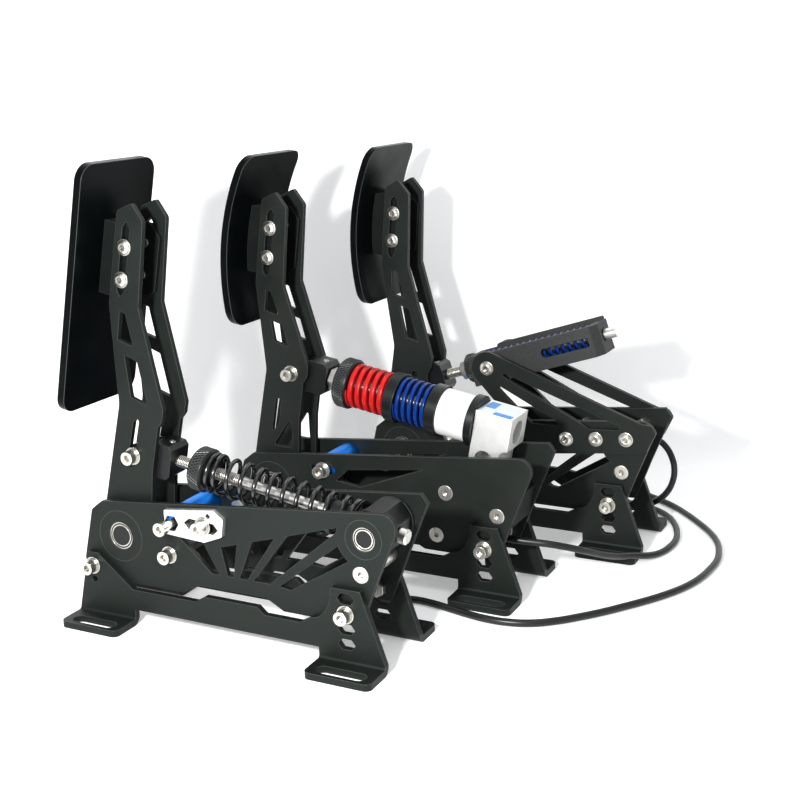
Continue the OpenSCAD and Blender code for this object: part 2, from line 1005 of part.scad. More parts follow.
// Openings of the middle of an arm: two windows between slanted lines, and what the pedal has below
module arm_windows_2d(p) {
    function front(v) = -4.8 + 0.206 * (136 - v);
    function rear(v) = arm_reach[p] - 23.6 + 0.32 * (133 - v);
    top = arm_len[p] - 79;
    bar = window_bar[p];
    polygon(rounded([
        [-9.2, top, 1], [-4.3, top - 1.5, 1], [2.8, bar[0] - 3, 1], [front(bar[0]) - 4, bar[0], 1]
    ]));
    low = window_low[p];
    polygon(rounded([
        [front(bar[1]), bar[1], 1], [rear(bar[1] - 3), bar[1] - 3, 1],
        [rear(low - 2), low - 2, 1], [front(low + 2), low + 2, 1]
    ]));
    if (p == throttle)
        translate([5, 74])
            rotate(81.2)
                pointed_slot_2d(33, 6.1, 4);
    if (p == brake) {
        polygon(rounded([[0, 72, 1], [5, 70.5, 1], [3, 50, 1], [-4, 41, 1]]));
        polygon(rounded([[14, 57, 1.5], [-2, 31, 1.5], [16, 31, 1.5]]));
    }
    if (p == clutch)
        translate(clutch_spare_hole)
            circle(r = bolt_hole_r);
}

module arm_plates(p) {
    color(black)
        on_arm(p)
            both_sides()
                across(arm_in, arm_out)
                    arm_2d(p);
}

module throttle_arm_plates() {
    arm_plates(throttle);
}

module brake_arm_plates() {
    arm_plates(brake);
}

module clutch_arm_plates() {
    arm_plates(clutch);
}

// Axle: a spacer between the arm plates, their seats, shoulders for the bearings, and journals
axle_r = axle_d / 2 + 1.5;

module axle(p) {
    seat = plate_out - bearing_recess - bearing_w;
    color(black)
        on_arm(p) {
            bar_x(-arm_in, arm_in, axle_r + 4);
            bar_x(-arm_out, arm_out, axle_r);
            bar_x(-seat + run_gap, seat - run_gap, axle_d / 2 + journal_step);
            bar_x(-plate_out + 0.3, plate_out - 0.3, axle_d / 2 - run_gap / 2);
        }
}

module throttle_axle() {
    axle(throttle);
}

module brake_axle() {
    axle(brake);
}

module clutch_axle() {
    axle(clutch);
}

// Pads and the channels that carry them

// Slab from d0 to d1 below a pad's front face, w wide and as long as asked
module pad_slab(p, d0, d1, w, length, corner) {
    front = -pad_back - pad_t;
    if (p == throttle)
        translate([0, front + d1, pad_q[p]])
            rotate([90, 0, 0])
                linear_extrude(d1 - d0)
                    plan_2d(w, length, corner);
    else
        intersection() {
            translate([0, front + pad_bow_r, pad_q[p]])
                difference() {
                    bar_x(-w / 2, w / 2, pad_bow_r - d0, $fn = 180);
                    bar_x(-w / 2 - 1, w / 2 + 1, pad_bow_r - d1, $fn = 180);
                }
            translate([0, front + 30, pad_q[p]])
                rotate([90, 0, 0])
                    linear_extrude(31)
                        plan_2d(w, length, corner);
        }
}

module plan_2d(w, length, corner) {
    square([w - 2 * corner, length], center = true);
    square([w, length - 2 * corner], center = true);
    for (x = [-1, 1], y = [-1, 1])
        translate([x * (w / 2 - corner), y * (length / 2 - corner)])
            circle(r = corner);
}

module pad_screw_holes(p, depth) {
    for (d = [-pad_fix, pad_fix])
        on_pad(p, channel_q(p) - pad_q[p] + d)
            bar_y(-1, depth, bolt_d / 2 + press_gap);
}

// Middle of a channel along the upper arm, between its two screws
function channel_q(p) = (pad_screws_q[p][0] + pad_screws_q[p][1]) / 2;

module pad(p) {
    color(black)
        on_upper(p)
            difference() {
                pad_slab(p, 0, pad_t, pad_w, pad_lens[p], pad_corner_r);
                pad_screw_holes(p, 20);
                for (d = [-pad_fix, pad_fix])
                    on_pad(p, channel_q(p) - pad_q[p] + d)
                        cone_y(-0.01, csk_h, csk_r + press_gap, bolt_d / 2 + press_gap);
            }
}

module throttle_pad() {
    pad(throttle);
}

module brake_pad() {
    pad(brake);
}

module clutch_pad() {
    pad(clutch);
}

// U channel: a web behind the pad and two flanges inside the arm plates
module pad_bracket(p) {
    flange_out = arm_in - press_gap;
    q = channel_q(p);
    reach = arm_slot_p + 12;
    length = 54;
    half = length / 2;
    color(black)
        on_upper(p)
            difference() {
                union() {
                    intersection() {
                        pad_slab(p, pad_t, pad_t + channel_t, 2 * flange_out, 160, 1);
                        translate([-20, -60, q - length / 2])
                            cube([40, 120, length]);
                    }
                    difference() {
                        both_sides()
                            across(flange_out - channel_t, flange_out)
                                polygon([
                                    [-pad_back, q - half], [reach - 5, q - half], [reach, q - half + 5],
                                    [reach, q + half - 9], [reach - 9, q + half], [-pad_back, q + half]
                                ]);
                        flange_trim(p);
                    }
                }
                for (s = pad_screws_q[p])
                    translate([0, arm_slot_p, s])
                        bar_x(-20, 20, bolt_d / 2 + press_gap);
                pad_screw_holes(p, 30);
            }
}

// What the flanges leave free for the pad
module flange_trim(p) {
    if (p == throttle)
        translate([-20, -pad_back - pad_t, -40])
            cube([40, pad_t, 150]);
    else
        translate([0, pad_bow_r - pad_back - pad_t, pad_q[p]])
            difference() {
                bar_x(-20, 20, pad_bow_r + 20, $fn = 180);
                bar_x(-21, 21, pad_bow_r - pad_t, $fn = 180);
            }
}

module throttle_pad_bracket() {
    pad_bracket(throttle);
}

module brake_pad_bracket() {
    pad_bracket(brake);
}

module clutch_pad_bracket() {
    pad_bracket(clutch);
}

// Screws of an arm: two through each side into the channel, two through the pad, and the clevis bolt
module arm_screws(p) {
    color(steel) {
        on_upper(p) {
            for (s = pad_screws_q[p])
                translate([0, arm_slot_p, s])
                    both_sides()
                        translate([arm_out, 0, 0])
                            button_screw(arm_t + channel_t + 1);
            for (d = [-pad_fix, pad_fix])
                on_pad(p, channel_q(p) - pad_q[p] + d)
                    rotate([0, 0, -90])
                        csk_screw(pad_t + channel_t + 5);
        }
        on_arm(p)
            translate([0, rod_pin[p][0], rod_pin[p][1]]) {
                translate([arm_out, 0, 0])
                    washer();
                translate([arm_out + washer_t, 0, 0])
                    cap_screw(2 * arm_out + washer_t + nut_t);
                translate([-arm_out, 0, 0])
                    nut();
            }
    }
}

module throttle_arm_screws() {
    arm_screws(throttle);
}

module brake_arm_screws() {
    arm_screws(brake);
}

module clutch_arm_screws() {
    arm_screws(clutch);
}

// Rods, clevises and knobs

module clevis(p, d) {
    tine_r = 8;
    color(black)
        on_rod(p)
            difference() {
                union() {
                    across(-clevis_w / 2, clevis_w / 2)
                        polygon([
                            [tine_back, -clevis_h / 2], [block_end - 3, -clevis_h / 2],
                            [block_end, 3 - clevis_h / 2], [block_end, clevis_h / 2 - 3],
                            [block_end - 3, clevis_h / 2], [tine_back, clevis_h / 2]
                        ]);
                    both_sides()
                        across(clevis_w / 2 - tine_t, clevis_w / 2) {
                            circle(r = tine_r);
                            polygon([
                                [0, -tine_r], [tine_back, -clevis_h / 2],
                                [tine_back, clevis_h / 2], [0, tine_r]
                            ]);
                        }
                }
                bar_x(-clevis_w, clevis_w, bolt_d / 2 + run_gap);
                bar_y(tine_back + 3, block_end + 1, d / 2 + press_gap);
                translate([0, block_end - 7, 0])
                    cylinder(h = clevis_h, r = 2.5);
            }
}

module throttle_clevis() {
    clevis(throttle, throttle_rod_d);
}

module brake_clevis() {
    clevis(brake, rod_d);
}

module clutch_clevis() {
    clevis(clutch, clutch_rod_d);
}

// The throttle rod ends in a collar behind its guide
module throttle_rod() {
    r = throttle_rod_d / 2;
    end = guide_s + guide_len + move_gap;
    color(steel)
        on_rod(throttle) {
            bar_y(tine_back + 4, end + 1, r);
            bar_y(end, end + 5.5, end_collar_r);
            cone_y(end + 5.5, end + 6.5, end_collar_r, end_collar_r - 1);
        }
}

module throttle_knob() {
    end = throttle_knob_s + throttle_knob_t;
    r = throttle_knob_d / 2;
    color(black)
        on_rod(throttle)
            difference() {
                union() {
                    cone_y(throttle_knob_s, throttle_knob_s + 1.5, r - 1.5, r);
                    bar_y(throttle_knob_s + 1.5, throttle_knob_s + throttle_knob_t - 1.5, r);
                    cone_y(end - 1.5, end, r, r - 1.5);
                    bar_y(end, end + 4, guide_tube_r);
                }
                bar_y(throttle_knob_s - 1, end + 5, throttle_rod_d / 2 + run_gap);
            }
}

// Block on trunnions, with a tube inside the spring that the rod slides in
module throttle_rod_guide() {
    seat = plate_out - bearing_recess - bearing_w;
    cut = 9;
    color(black)
        on_rod(throttle)
            difference() {
                union() {
                    translate([0, guide_s + guide_len / 2, 0])
                        across(-guide_w / 2, guide_w / 2)
                            octagon_2d(guide_len, guide_h, cut);
                    bar_y(guide_s - guide_tube_len, guide_s + 1, guide_tube_r);
                    translate([0, guide_s + guide_len / 2, 0]) {
                        bar_x(-seat + run_gap, seat - run_gap, trunnion_d / 2 + journal_step);
                        bar_x(-plate_out + 1, plate_out - 1, trunnion_d / 2 - run_gap / 2);
                    }
                }
                bar_y(guide_s - guide_tube_len - 1, guide_s + guide_len + 1, guide_bore_r);
            }
}

module octagon_2d(length, height, cut) {
    y = length / 2;
    z = height / 2;
    polygon([
        [-y, cut - z], [cut - y, -z], [y - cut, -z], [y, cut - z],
        [y, z - cut], [y - cut, z], [cut - y, z], [-y, z - cut]
    ]);
}

// Slotted plates that limit the throttle's stop
limit_t = 4.5;

module throttle_limit_plates() {
    color(bare_metal)
        at(throttle)
            both_sides()
                across(plate_out, plate_out + limit_t)
                    difference() {
                        polygon(rounded([
                            [82, 94, 1], [124, 99, 2], [132.7, 93, 2],
                            [131, 80, 2], [116, 74, 2], [82.6, 76, 1]
                        ]));
                        translate(roller_at)
                            circle(r = 6.3, $fn = 6);
                        translate(limit_bolt - [1.8, 0.4])
                            rotate(-4)
                                pointed_slot_2d(29, 8, 4);
                        translate([120, 94])
                            circle(r = 2.2, $fn = 4);
                    }
}

module brake_rod() {
    color(steel)
        on_rod(brake)
            bar_y(tine_back + 4, cell_s + 16, rod_d / 2);
}

module brake_lock_nut() {
    color(steel)
        on_rod(brake)
            difference() {
                bar_y(brake_nut_s, brake_nut_s + brake_nut_t, 9.8, 6);
                bar_y(brake_nut_s - 1, brake_nut_s + brake_nut_t + 1, rod_d / 2 + press_gap);
            }
}

module brake_knob() {
    r = brake_knob_d / 2;
    color(black)
        on_rod(brake)
            difference() {
                union() {
                    cone_y(brake_knob_s, brake_knob_s + 1.5, r - 1.5, r);
                    bar_y(brake_knob_s + 1.5, brake_knob_s + brake_knob_t - 1, r);
                    cone_y(brake_knob_s + brake_knob_t - 1, brake_knob_s + brake_knob_t, r, r - 1);
                    bar_y(brake_knob_s + brake_knob_t, brake_knob_s + brake_knob_t + 5, die_inside - 1);
                }
                bar_y(brake_knob_s - 1, brake_knob_s + brake_knob_t + 6, rod_d / 2 + run_gap);
            }
}

// Discs that slide on the brake rod, with a spigot into each spring they meet
die_inside = die_spring_d / 2 - die_radial;

module brake_spring_separator() {
    r = brake_knob_d / 2;
    color(black)
        on_rod(brake)
            difference() {
                union() {
                    bar_y(separator_s, separator_s + separator_t, r);
                    bar_y(separator_s - 4, separator_s + separator_t + 4, die_inside - 1);
                }
                bar_y(separator_s - 5, separator_s + separator_t + 5, rod_d / 2 + 0.3);
            }
}

module brake_spring_seats() {
    r = brake_knob_d / 2;
    color(black)
        on_rod(brake) {
            difference() {
                union() {
                    bar_y(cup_s, cup_s + cup_t, r);
                    bar_y(cup_s - 4, cup_s, die_inside - 1);
                }
                bar_y(cup_s - 5, cup_s + cup_t + 1, rod_d / 2 + 0.3);
            }
            difference() {
                bar_y(ring_s, ring_s + ring_t, r + 0.5);
                bar_y(ring_s - 1, ring_s + ring_t + 1, rod_d / 2 + 0.3);
            }
        }
}

module brake_sleeve() {
    color([0.93, 0.93, 0.92])
        on_rod(brake)
            difference() {
                bar_y(sleeve_s, ring_s, brake_knob_d / 2 - 1.5);
                bar_y(sleeve_s - 1, ring_s + 1, rod_d / 2 + 3);
            }
}

// Block with the rod's hole through it, and below that a waist with a cross hole, where it bends
module brake_load_cell() {
    color(bare_metal)
        on_rod(brake)
            difference() {
                across(-cell_w / 2, cell_w / 2)
                    difference() {
                        translate([cell_s, -cell_foot])
                            square([cell_len, cell_foot + cell_top]);
                        translate([cell_s + cell_len / 2 - cell_waist / 2, -23])
                            circle(r = 7);
                        translate([cell_s + cell_len, -18.5])
                            circle(r = cell_waist);
                        translate([cell_s + cell_len - cell_waist, -cell_foot - 1])
                            square([cell_waist + 1, cell_foot - 17.5]);
                    }
                bar_y(cell_s - 1, cell_s + cell_len + 1, cell_bore / 2);
            }
}

module brake_load_cell_mount() {
    gland = [cell_at[0] + 10, 50];
    gland_r = 4.5;
    color(black) {
        on_rod(brake)
            difference() {
                across(-plate_in, plate_in)
                    polygon([
                        [cell_s - 23, -cell_foot], [cell_s + 44, -cell_foot], [cell_s + 44, -69],
                        [cell_s + 4, -73], [cell_s - 2, -102], [cell_s - 23, -102]
                    ]);
                for (sn = [[-11, -55], [-13, -91], [33, -60.5]])
                    translate([0, cell_s + sn[0], sn[1]])
                        both_sides()
                            bar_x(plate_in - tap_depth - 1, plate_in + 1, tapped_r);
            }
        at(brake)
            translate([0, gland[0], gland[1]])
                cylinder(h = 12, r = gland_r);
    }
}

// Clutch linkage

// The rod carries the piston that presses the spring, and a sleeve on its end behind the housing
module clutch_rod() {
    r = clutch_rod_d / 2;
    end = housing_s + housing_len + cap_t + move_gap;
    color(steel)
        on_rod(clutch) {
            bar_y(tine_back + 4, end + 1, r);
            bar_y(piston_s, piston_s + piston_t, clutch_spring_d / 2 - 1);
            bar_y(end, end + clutch_tail, r + 0.7);
        }
}

module clutch_knob() {
    r = clutch_knob_d / 2;
    s1 = housing_s - move_gap;
    s0 = s1 - clutch_knob_t;
    color(black)
        on_rod(clutch)
            difference() {
                union() {
                    bar_y(s0 - clutch_hex_t, s0, 8.7, 6);
                    bar_y(s0, s1 - 1, r);
                    cone_y(s1 - 1, s1, r, r - 1);
                    bar_y(s1, housing_s + front_block - move_gap, nose_r - run_gap);
                }
                bar_y(s0 - clutch_hex_t - 1, housing_s + front_block, clutch_bore_r);
            }
}

// Open-topped channel with a front block, side windows and trunnion bosses; its left wall stands
// higher, and the end cap has cut corners
module clutch_spring_housing() {
    w = housing_w / 2;
    inner = w - housing_wall;
    low = housing_h - housing_top;
    boss = plate_out - move_gap;
    s0 = housing_s;
    s1 = housing_s + housing_len;
    end = s1 + cap_t;
    high = housing_top + housing_rise;
    pin_s = rod_reach(clutch);
    color(black)
        on_rod(clutch)
            difference() {
                union() {
                    translate([0, 0, -low])
                        linear_extrude(housing_h)
                            polygon([
                                [-w, s0], [w, s0], [w, end - cap_cut], [w - cap_cut, end],
                                [2 - w, end], [-w, end - 2]
                            ]);
                    across(-w, -inner)
                        polygon(rounded([[s0 + 17, 0, 0], [s0 + 17, high, 3], [end - 2, high, 1], [end - 2, 0, 0]]));
                    translate([0, pin_s, 0])
                        bar_x(-boss, boss, 9);
                }
                translate([-inner, s0 + front_block, housing_floor - low])
                    cube([2 * inner, housing_len - front_block, housing_h + housing_rise]);
                across(-w - 1, w + 1)
                    polygon([
                        [s0 + 67, -3], [s0 + 69, -5.2], [s1 - 1, -5.2], [s1 - 1, 2.6],
                        [s0 + 69, 2.6], [s0 + 67, 0.5]
                    ]);
                bar_y(s0 - 1, s0 + front_block + 1, nose_r);
                bar_y(s1 - 1, end + 1, clutch_bore_r);
                translate([0, pin_s, 0])
                    both_sides()
                        bar_x(inner - 1, boss + 1, clutch_pin_d / 2 + run_gap);
            }
}

clutch_pin_in = housing_w / 2 - housing_wall + 0.3;

// Truss plates bolted outside the side plates, which carry the housing
function housing_pivot_off(y, z, r) = [housing_pivot[0] + y, housing_pivot[1] + z, r];

module link_2d() {
    difference() {
        union() {
            translate(housing_pivot)
                circle(r = 14);
            polygon(rounded([
                housing_pivot_off(-10, -10, 0), [base_len - 90, 77, 5], [base_len + 2, 87.5, 4],
                [base_len + plate_over + 0.2, 104.5, 3], [base_len + 6.5, 110.5, 3],
                [base_len - 2.5, 111.5, 8],
                housing_pivot_off(4.8, 13.1, 0)
            ]));
        }
        polygon(rounded([
            housing_pivot_off(15, -3, 1), housing_pivot_off(14, -5.5, 1),
            [base_len - 45, 103, 2], [base_len - 12, 105, 2]
        ]));
        polygon(rounded([
            housing_pivot_off(11.5, -14.5, 1), housing_pivot_off(10.5, -17, 1),
            [base_len - 96, 103, 2], [base_len - 66, 103, 2]
        ]));
        for (yz = link_screws)
            translate(yz)
                circle(r = bolt_hole_r);
        translate(housing_pivot)
            circle(r = clutch_pin_d / 2 + press_gap);
    }
}

module clutch_link_plates() {
    color(black)
        at(clutch)
            both_sides()
                across(plate_out, link_out)
                    link_2d();
}

// Springs: one wire along a helix, with a closed turn at each end

rings_per_turn = 8;

// Place along the axis after t turns of n, for a spring of the given length and axial wire size
function coil_place(t, n, length, wire) =
    let (
        end_pitch = wire + coil_gap,
        pitch = (length - wire - 2 * end_pitch) / (n - 2)
    )
    wire / 2 + (t < 1 ? t * end_pitch
        : t > n - 1 ? end_pitch + (n - 2) * pitch + (t - n + 1) * end_pitch
        : end_pitch + (t - 1) * pitch);

// Wire's middle points of a spring that starts at y = s
function coil_points(s, n, length, wire, mean_r) = [
    for (i = [0 : n * rings_per_turn])
        let (t = i / rings_per_turn)
        [mean_r * cos(360 * t), s + coil_place(t, n, length, wire), mean_r * sin(360 * t)]
];

// Least room between neighbouring turns, measured on the points
function coil_room(points, wire) = min([
    for (i = [0 : len(points) - rings_per_turn - 1], k = [-1 : 1])
        if (i + rings_per_turn + k < len(points))
            norm(points[i + rings_per_turn + k] - points[i]) - wire
]);

// Section points (radial, axial) carried along the helix
module coil(points, section) {
    sides = len(section);
    rings = len(points);
    skin = [
        for (c = points)
            let (out = unit([c[0], 0, c[2]]))
            for (q = section)
                c + q[0] * out + [0, q[1], 0]
    ];
    function at_ring(i, k) = i * sides + (k % sides);
    last = sides - 1;
    polyhedron(skin, concat(
        [for (i = [0 : rings - 2], k = [0 : last]) [at_ring(i, k), at_ring(i, k + 1), at_ring(i + 1, k)]],
        [for (i = [0 : rings - 2], k = [0 : last]) [at_ring(i, k + 1), at_ring(i + 1, k + 1), at_ring(i + 1, k)]],
        [for (k = [1 : sides - 2]) [at_ring(0, 0), at_ring(0, k + 1), at_ring(0, k)]],
        [for (k = [1 : sides - 2]) [at_ring(rings - 1, 0), at_ring(rings - 1, k), at_ring(rings - 1, k + 1)]]
    ));
}

function round_wire(d) = [for (k = [0 : 5]) d / 2 * [cos(60 * k), sin(60 * k)]];
function flat_wire(radial, axial) = [
    [radial / 2, -axial / 2], [radial / 2, axial / 2], [-radial / 2, axial / 2], [-radial / 2, -axial / 2]
];

throttle_spring_s = throttle_knob_s + throttle_knob_t + seat_gap;
throttle_coil = coil_points(
    throttle_spring_s, throttle_turns, guide_s - throttle_spring_s - seat_gap, throttle_wire,
    (throttle_spring_d - throttle_wire) / 2);
red_coil = coil_points(red_s + seat_gap, die_turns, red_len - 2 * seat_gap, red_axial,
    (die_spring_d - die_radial) / 2);
blue_coil = coil_points(blue_s + seat_gap, die_turns, blue_len - 2 * seat_gap, blue_axial,
    (die_spring_d - die_radial) / 2);
clutch_spring_s = piston_s + piston_t + seat_gap;
clutch_coil = coil_points(
    clutch_spring_s, clutch_turns, housing_s + housing_len - clutch_spring_s - seat_gap, clutch_wire,
    (clutch_spring_d - clutch_wire) / 2);
echo(throttle_coil_room = coil_room(throttle_coil, throttle_wire));
echo(red_coil_room = coil_room(red_coil, red_axial));
echo(blue_coil_room = coil_room(blue_coil, blue_axial));
echo(clutch_coil_room = coil_room(clutch_coil, clutch_wire));

module throttle_spring() {
    color(dark_plastic)
        on_rod(throttle)
            coil(throttle_coil, round_wire(throttle_wire));
}

module brake_red_spring() {
    color(red)
        on_rod(brake)
            coil(red_coil, flat_wire(die_radial, red_axial));
}

module brake_blue_spring() {
    color(blue)
        on_rod(brake)
            coil(blue_coil, flat_wire(die_radial, blue_axial));
}

module clutch_spring() {
    color(blue)
        on_rod(clutch)
            coil(clutch_coil, round_wire(clutch_wire));
}

// Sensors and leads

// Caps over the left ends of the throttle's and clutch's axles, and grommets for the leads
module angle_sensors() {
    color(dark_plastic) {
        for (p = [throttle, clutch])
            at(p)
                spot([axle_y, axle_z])
                    bar_x(-plate_out - 8, -plate_out, 15);
        at(throttle)
            spot(throttle_lead_hole)
                grommet();
        at(clutch)
            spot(clutch_lead_hole)
                grommet();
    }
}

module grommet() {
    bar_x(-plate_out - 4, -plate_in, lead_hole_r - press_gap);
}

// Tube along a route; each ring keeps the turn of the one before it
module lead(from_rear) {
    route = [for (point = from_rear) point + [0, set_len / 2, 0]];
    n = len(route);
    way = [for (i = [0 : n - 1]) unit(route[min(i + 1, n - 1)] - route[max(i - 1, 0)])];
    function level(v, t) = unit(v - (v * t) * t);
    first = level([0.3, 0.2, 1], way[0]);
    sides = [for (i = 0, v = first; i < n; i = i + 1, v = i < n ? level(v, way[i]) : v) v];
    skin = [
        for (i = [0 : n - 1], k = [0 : lead_sides - 1])
            let (a = 360 * k / lead_sides)
            route[i] + lead_d / 2 * (cos(a) * sides[i] + sin(a) * cross(way[i], sides[i]))
    ];
    function at_ring(i, k) = i * lead_sides + (k % lead_sides);
    last = lead_sides - 1;
    polyhedron(skin, concat(
        [for (i = [0 : n - 2], k = [0 : last]) [at_ring(i, k), at_ring(i + 1, k), at_ring(i, k + 1)]],
        [for (i = [0 : n - 2], k = [0 : last]) [at_ring(i, k + 1), at_ring(i + 1, k), at_ring(i + 1, k + 1)]],
        [for (k = [1 : last - 1]) [at_ring(0, 0), at_ring(0, k), at_ring(0, k + 1)]],
        [for (k = [1 : last - 1]) [at_ring(n - 1, 0), at_ring(n - 1, k + 1), at_ring(n - 1, k)]]
    ));
}

module throttle_lead() {
    color(black)
        lead(throttle_route);
}

module brake_lead() {
    color(black)
        lead(brake_route);
}

module clutch_lead() {
    color(black)
        lead(clutch_route);
}

// Plug at the end of a route, flat on the floor
module plug(route) {
    end = route[len(route) - 1];
    way = end - route[len(route) - 2];
    translate([end[0], end[1] + set_len / 2, 0])
        rotate(atan2(way[1], way[0])) {
            translate([0, -3, 0])
                cube([8, 6, 6]);
            translate([8, -6, 0])
                cube([plug_len - 8, 12, 7]);
        }
}

module lead_plugs() {
    color(dark_plastic)
        for (route = [throttle_route, brake_route, clutch_route])
            plug(route);
}

base_screws();
axle_bearings();
bearing_discs();
spreaders();
stop_rollers();
throttle_right_foot_bracket();
throttle_left_foot_bracket();
brake_right_foot_bracket();
brake_left_foot_bracket();
clutch_right_foot_bracket();
clutch_left_foot_bracket();
throttle_right_side_plate();
throttle_left_side_plate();
brake_right_side_plate();
brake_left_side_plate();
clutch_right_side_plate();
clutch_left_side_plate();
throttle_axle();
throttle_arm_plates();
throttle_pad_bracket();
throttle_pad();
throttle_arm_screws();
throttle_clevis();
throttle_rod();
throttle_knob();
throttle_spring();
throttle_rod_guide();
throttle_limit_plates();
brake_axle();
brake_arm_plates();
brake_pad_bracket();
brake_pad();
brake_arm_screws();
brake_clevis();
brake_rod();
brake_lock_nut();
brake_knob();
brake_red_spring();
brake_spring_separator();
brake_blue_spring();
brake_spring_seats();
brake_sleeve();
brake_load_cell();
brake_load_cell_mount();
clutch_axle();
clutch_arm_plates();
clutch_pad_bracket();
clutch_pad();
clutch_arm_screws();
clutch_clevis();
clutch_rod();
clutch_knob();
clutch_spring_housing();
clutch_spring();
clutch_link_plates();
angle_sensors();
throttle_lead();
brake_lead();
clutch_lead();
lead_plugs();
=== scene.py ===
"""Sim racing pedal set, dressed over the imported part: finishes, springs, knurls, threads, leads and a studio.

Lengths are in metres, apart from those multiplied by MM or said to be in millimetres.
"""
import json
import math

import bmesh
import bpy
from mathutils import Matrix, Vector


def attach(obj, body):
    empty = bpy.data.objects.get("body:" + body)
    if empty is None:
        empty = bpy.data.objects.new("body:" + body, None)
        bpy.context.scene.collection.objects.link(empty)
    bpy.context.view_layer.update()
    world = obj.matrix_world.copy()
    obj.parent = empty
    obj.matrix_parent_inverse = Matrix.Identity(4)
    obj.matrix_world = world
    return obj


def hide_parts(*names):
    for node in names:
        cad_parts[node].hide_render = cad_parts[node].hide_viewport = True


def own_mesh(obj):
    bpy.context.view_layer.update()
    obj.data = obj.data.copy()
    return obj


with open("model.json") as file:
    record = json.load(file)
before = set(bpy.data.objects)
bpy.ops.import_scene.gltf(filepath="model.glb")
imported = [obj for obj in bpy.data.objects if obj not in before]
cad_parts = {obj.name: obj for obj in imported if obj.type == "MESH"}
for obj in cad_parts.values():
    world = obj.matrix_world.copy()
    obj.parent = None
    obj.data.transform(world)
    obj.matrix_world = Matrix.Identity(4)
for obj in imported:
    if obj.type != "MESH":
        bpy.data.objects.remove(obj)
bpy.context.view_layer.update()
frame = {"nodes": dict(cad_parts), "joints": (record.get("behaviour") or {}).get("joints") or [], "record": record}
nodes = frame["nodes"]
joints = {j["name"]: j for j in frame["joints"]}
MM = 0.001
PEDALS = ("throttle", "brake", "clutch")
ACROSS = Vector((1, 0, 0))

# The photograph's camera: place, aim in degrees, and lens in pixels of a square frame
CAMERA_PLACE = Vector((0.8918, 0.4525, 0.4062))
CAMERA_YAW, CAMERA_PITCH, CAMERA_ROLL = 117.06, 10.8, -1.57
FRAME_PIXELS = 800
FOCAL_PIXELS = 1309
AXIS_PIXEL = (385, 310)

# Leads: the routes that part.scad lays, in millimetres
LEAD_DIAMETER = 5.5
LEAD_INSIDE_PLUG = 16
LEAD_ROUTES = {
    "throttle": [
        (110.5, 8, 39.5), (103, 8, 39.5), (95.5, 8, 37), (89, 8.5, 31), (83, 9, 22.5), (77, 10.5, 14),
        (70, 14, 7.5), (62, 20, 4), (55, 29, 3), (51, 41, 3), (51.5, 55, 3), (55, 71, 3), (59, 88, 3),
        (61.5, 105, 3), (60.5, 122, 3), (55, 138, 3), (45, 152, 3), (32, 165, 3), (17, 178, 3),
        (1, 190, 3), (-16, 202, 3), (-34, 213, 3), (-53, 222, 3), (-73, 228, 3), (-94, 231, 3),
        (-115, 232, 3), (-136, 229, 3), (-156, 223, 3), (-175, 213, 3), (-193, 200, 3),
        (-210, 186, 3), (-226, 171, 3), (-240, 154, 3), (-251, 136, 3), (-258, 117, 3),
    ],
    "brake": [
        (-7, 84, 50), (-7, 85, 45.5), (-7, 88, 42), (-7, 92.5, 40), (-7, 99, 39.5), (-8, 107, 39),
        (-10, 117, 38.5), (-13, 127, 37.5), (-18.5, 136, 35), (-27, 144, 31), (-38, 150, 26),
        (-50, 155, 20.5), (-62, 160, 15.5), (-74, 165, 11.5), (-86, 171, 8.5), (-99, 179, 5),
        (-114, 186, 3), (-132, 190, 3), (-150, 190, 3), (-168, 186, 3), (-186, 179, 3),
        (-202, 169, 3), (-214, 156, 3), (-221, 141, 3), (-224, 125, 3),
    ],
    "clutch": [
        (-167.5, 157, 80), (-174, 157, 80), (-179.5, 159, 80), (-183.5, 164, 78), (-185, 171, 72),
        (-184.5, 177, 62), (-184, 179, 52), (-183.5, 177.5, 41), (-183.5, 172.5, 31), (-184.5, 164.5, 23),
        (-186, 155, 17.5), (-189, 145, 13), (-193, 135, 9), (-197.5, 124, 5.5), (-201.5, 113, 3.5),
        (-204.5, 102, 3), (-206, 91, 3),
    ],
}

# Plugs: blocks as (from, to, half width, height, bevel) in millimetres: ribbed boot, body, grips and shell
PLUG_BLOCKS = [
    (-2, 3, 2.9, 5.9, 0.8), (3.4, 5, 3.2, 6.2, 0.5), (5.4, 7, 3.2, 6.2, 0.5),
    (7.2, 24, 6, 7, 1.2),
    *((10 + 2 * i, 11 + 2 * i, 6.3, 7.3, 0.3) for i in range(5)),
    (24, 30, 4.6, 6, 0.3),
]

# Knurled bands: first and last place behind the knob's front in millimetres, and ridges each way
KNURL_BANDS = {"throttle": (1.8, 10.2, 42), "brake": (2, 10.5, 52), "clutch": (7.6, 12.6, 34)}
RIDGE_SIZE = 0.38 * MM
RIDGE_SINK = 0.08 * MM
RIDGE_SLANT = math.radians(28)
RIDGE_OVERLENGTH = 1.1

# Coils: how they are wound, as counts and as shares of the wire's size
ROUND_WIRE_SIDES = 12
FLAT_WIRE_CORNER = 0.24
GROUND_SHARE = 0.85
END_PITCH_SHARE = 1.25
SPRING_STEPS = 32
THREAD_STEPS = 24

# Threads
THREAD_PITCH = 1.5 * MM
THREAD_RIDGE_SHARE = 0.62
ROOT_DEPTH = 0.5 * MM
ROOT_PROUD = 0.04 * MM
SPRING_THREAD_LENGTH = 24 * MM
CLUTCH_THREAD_GAP = 1 * MM

# Sweep: the wall's place and top, the bend's radius, half its size, and its turn in degrees
WALL_AT, WALL_TOP, BEND, SWEEP_HALF = -0.238, 1.6, 0.03, 4.0
BEND_STEPS = 12
SWEEP_TURN = 36
SWEEP_GLOW = 0.3

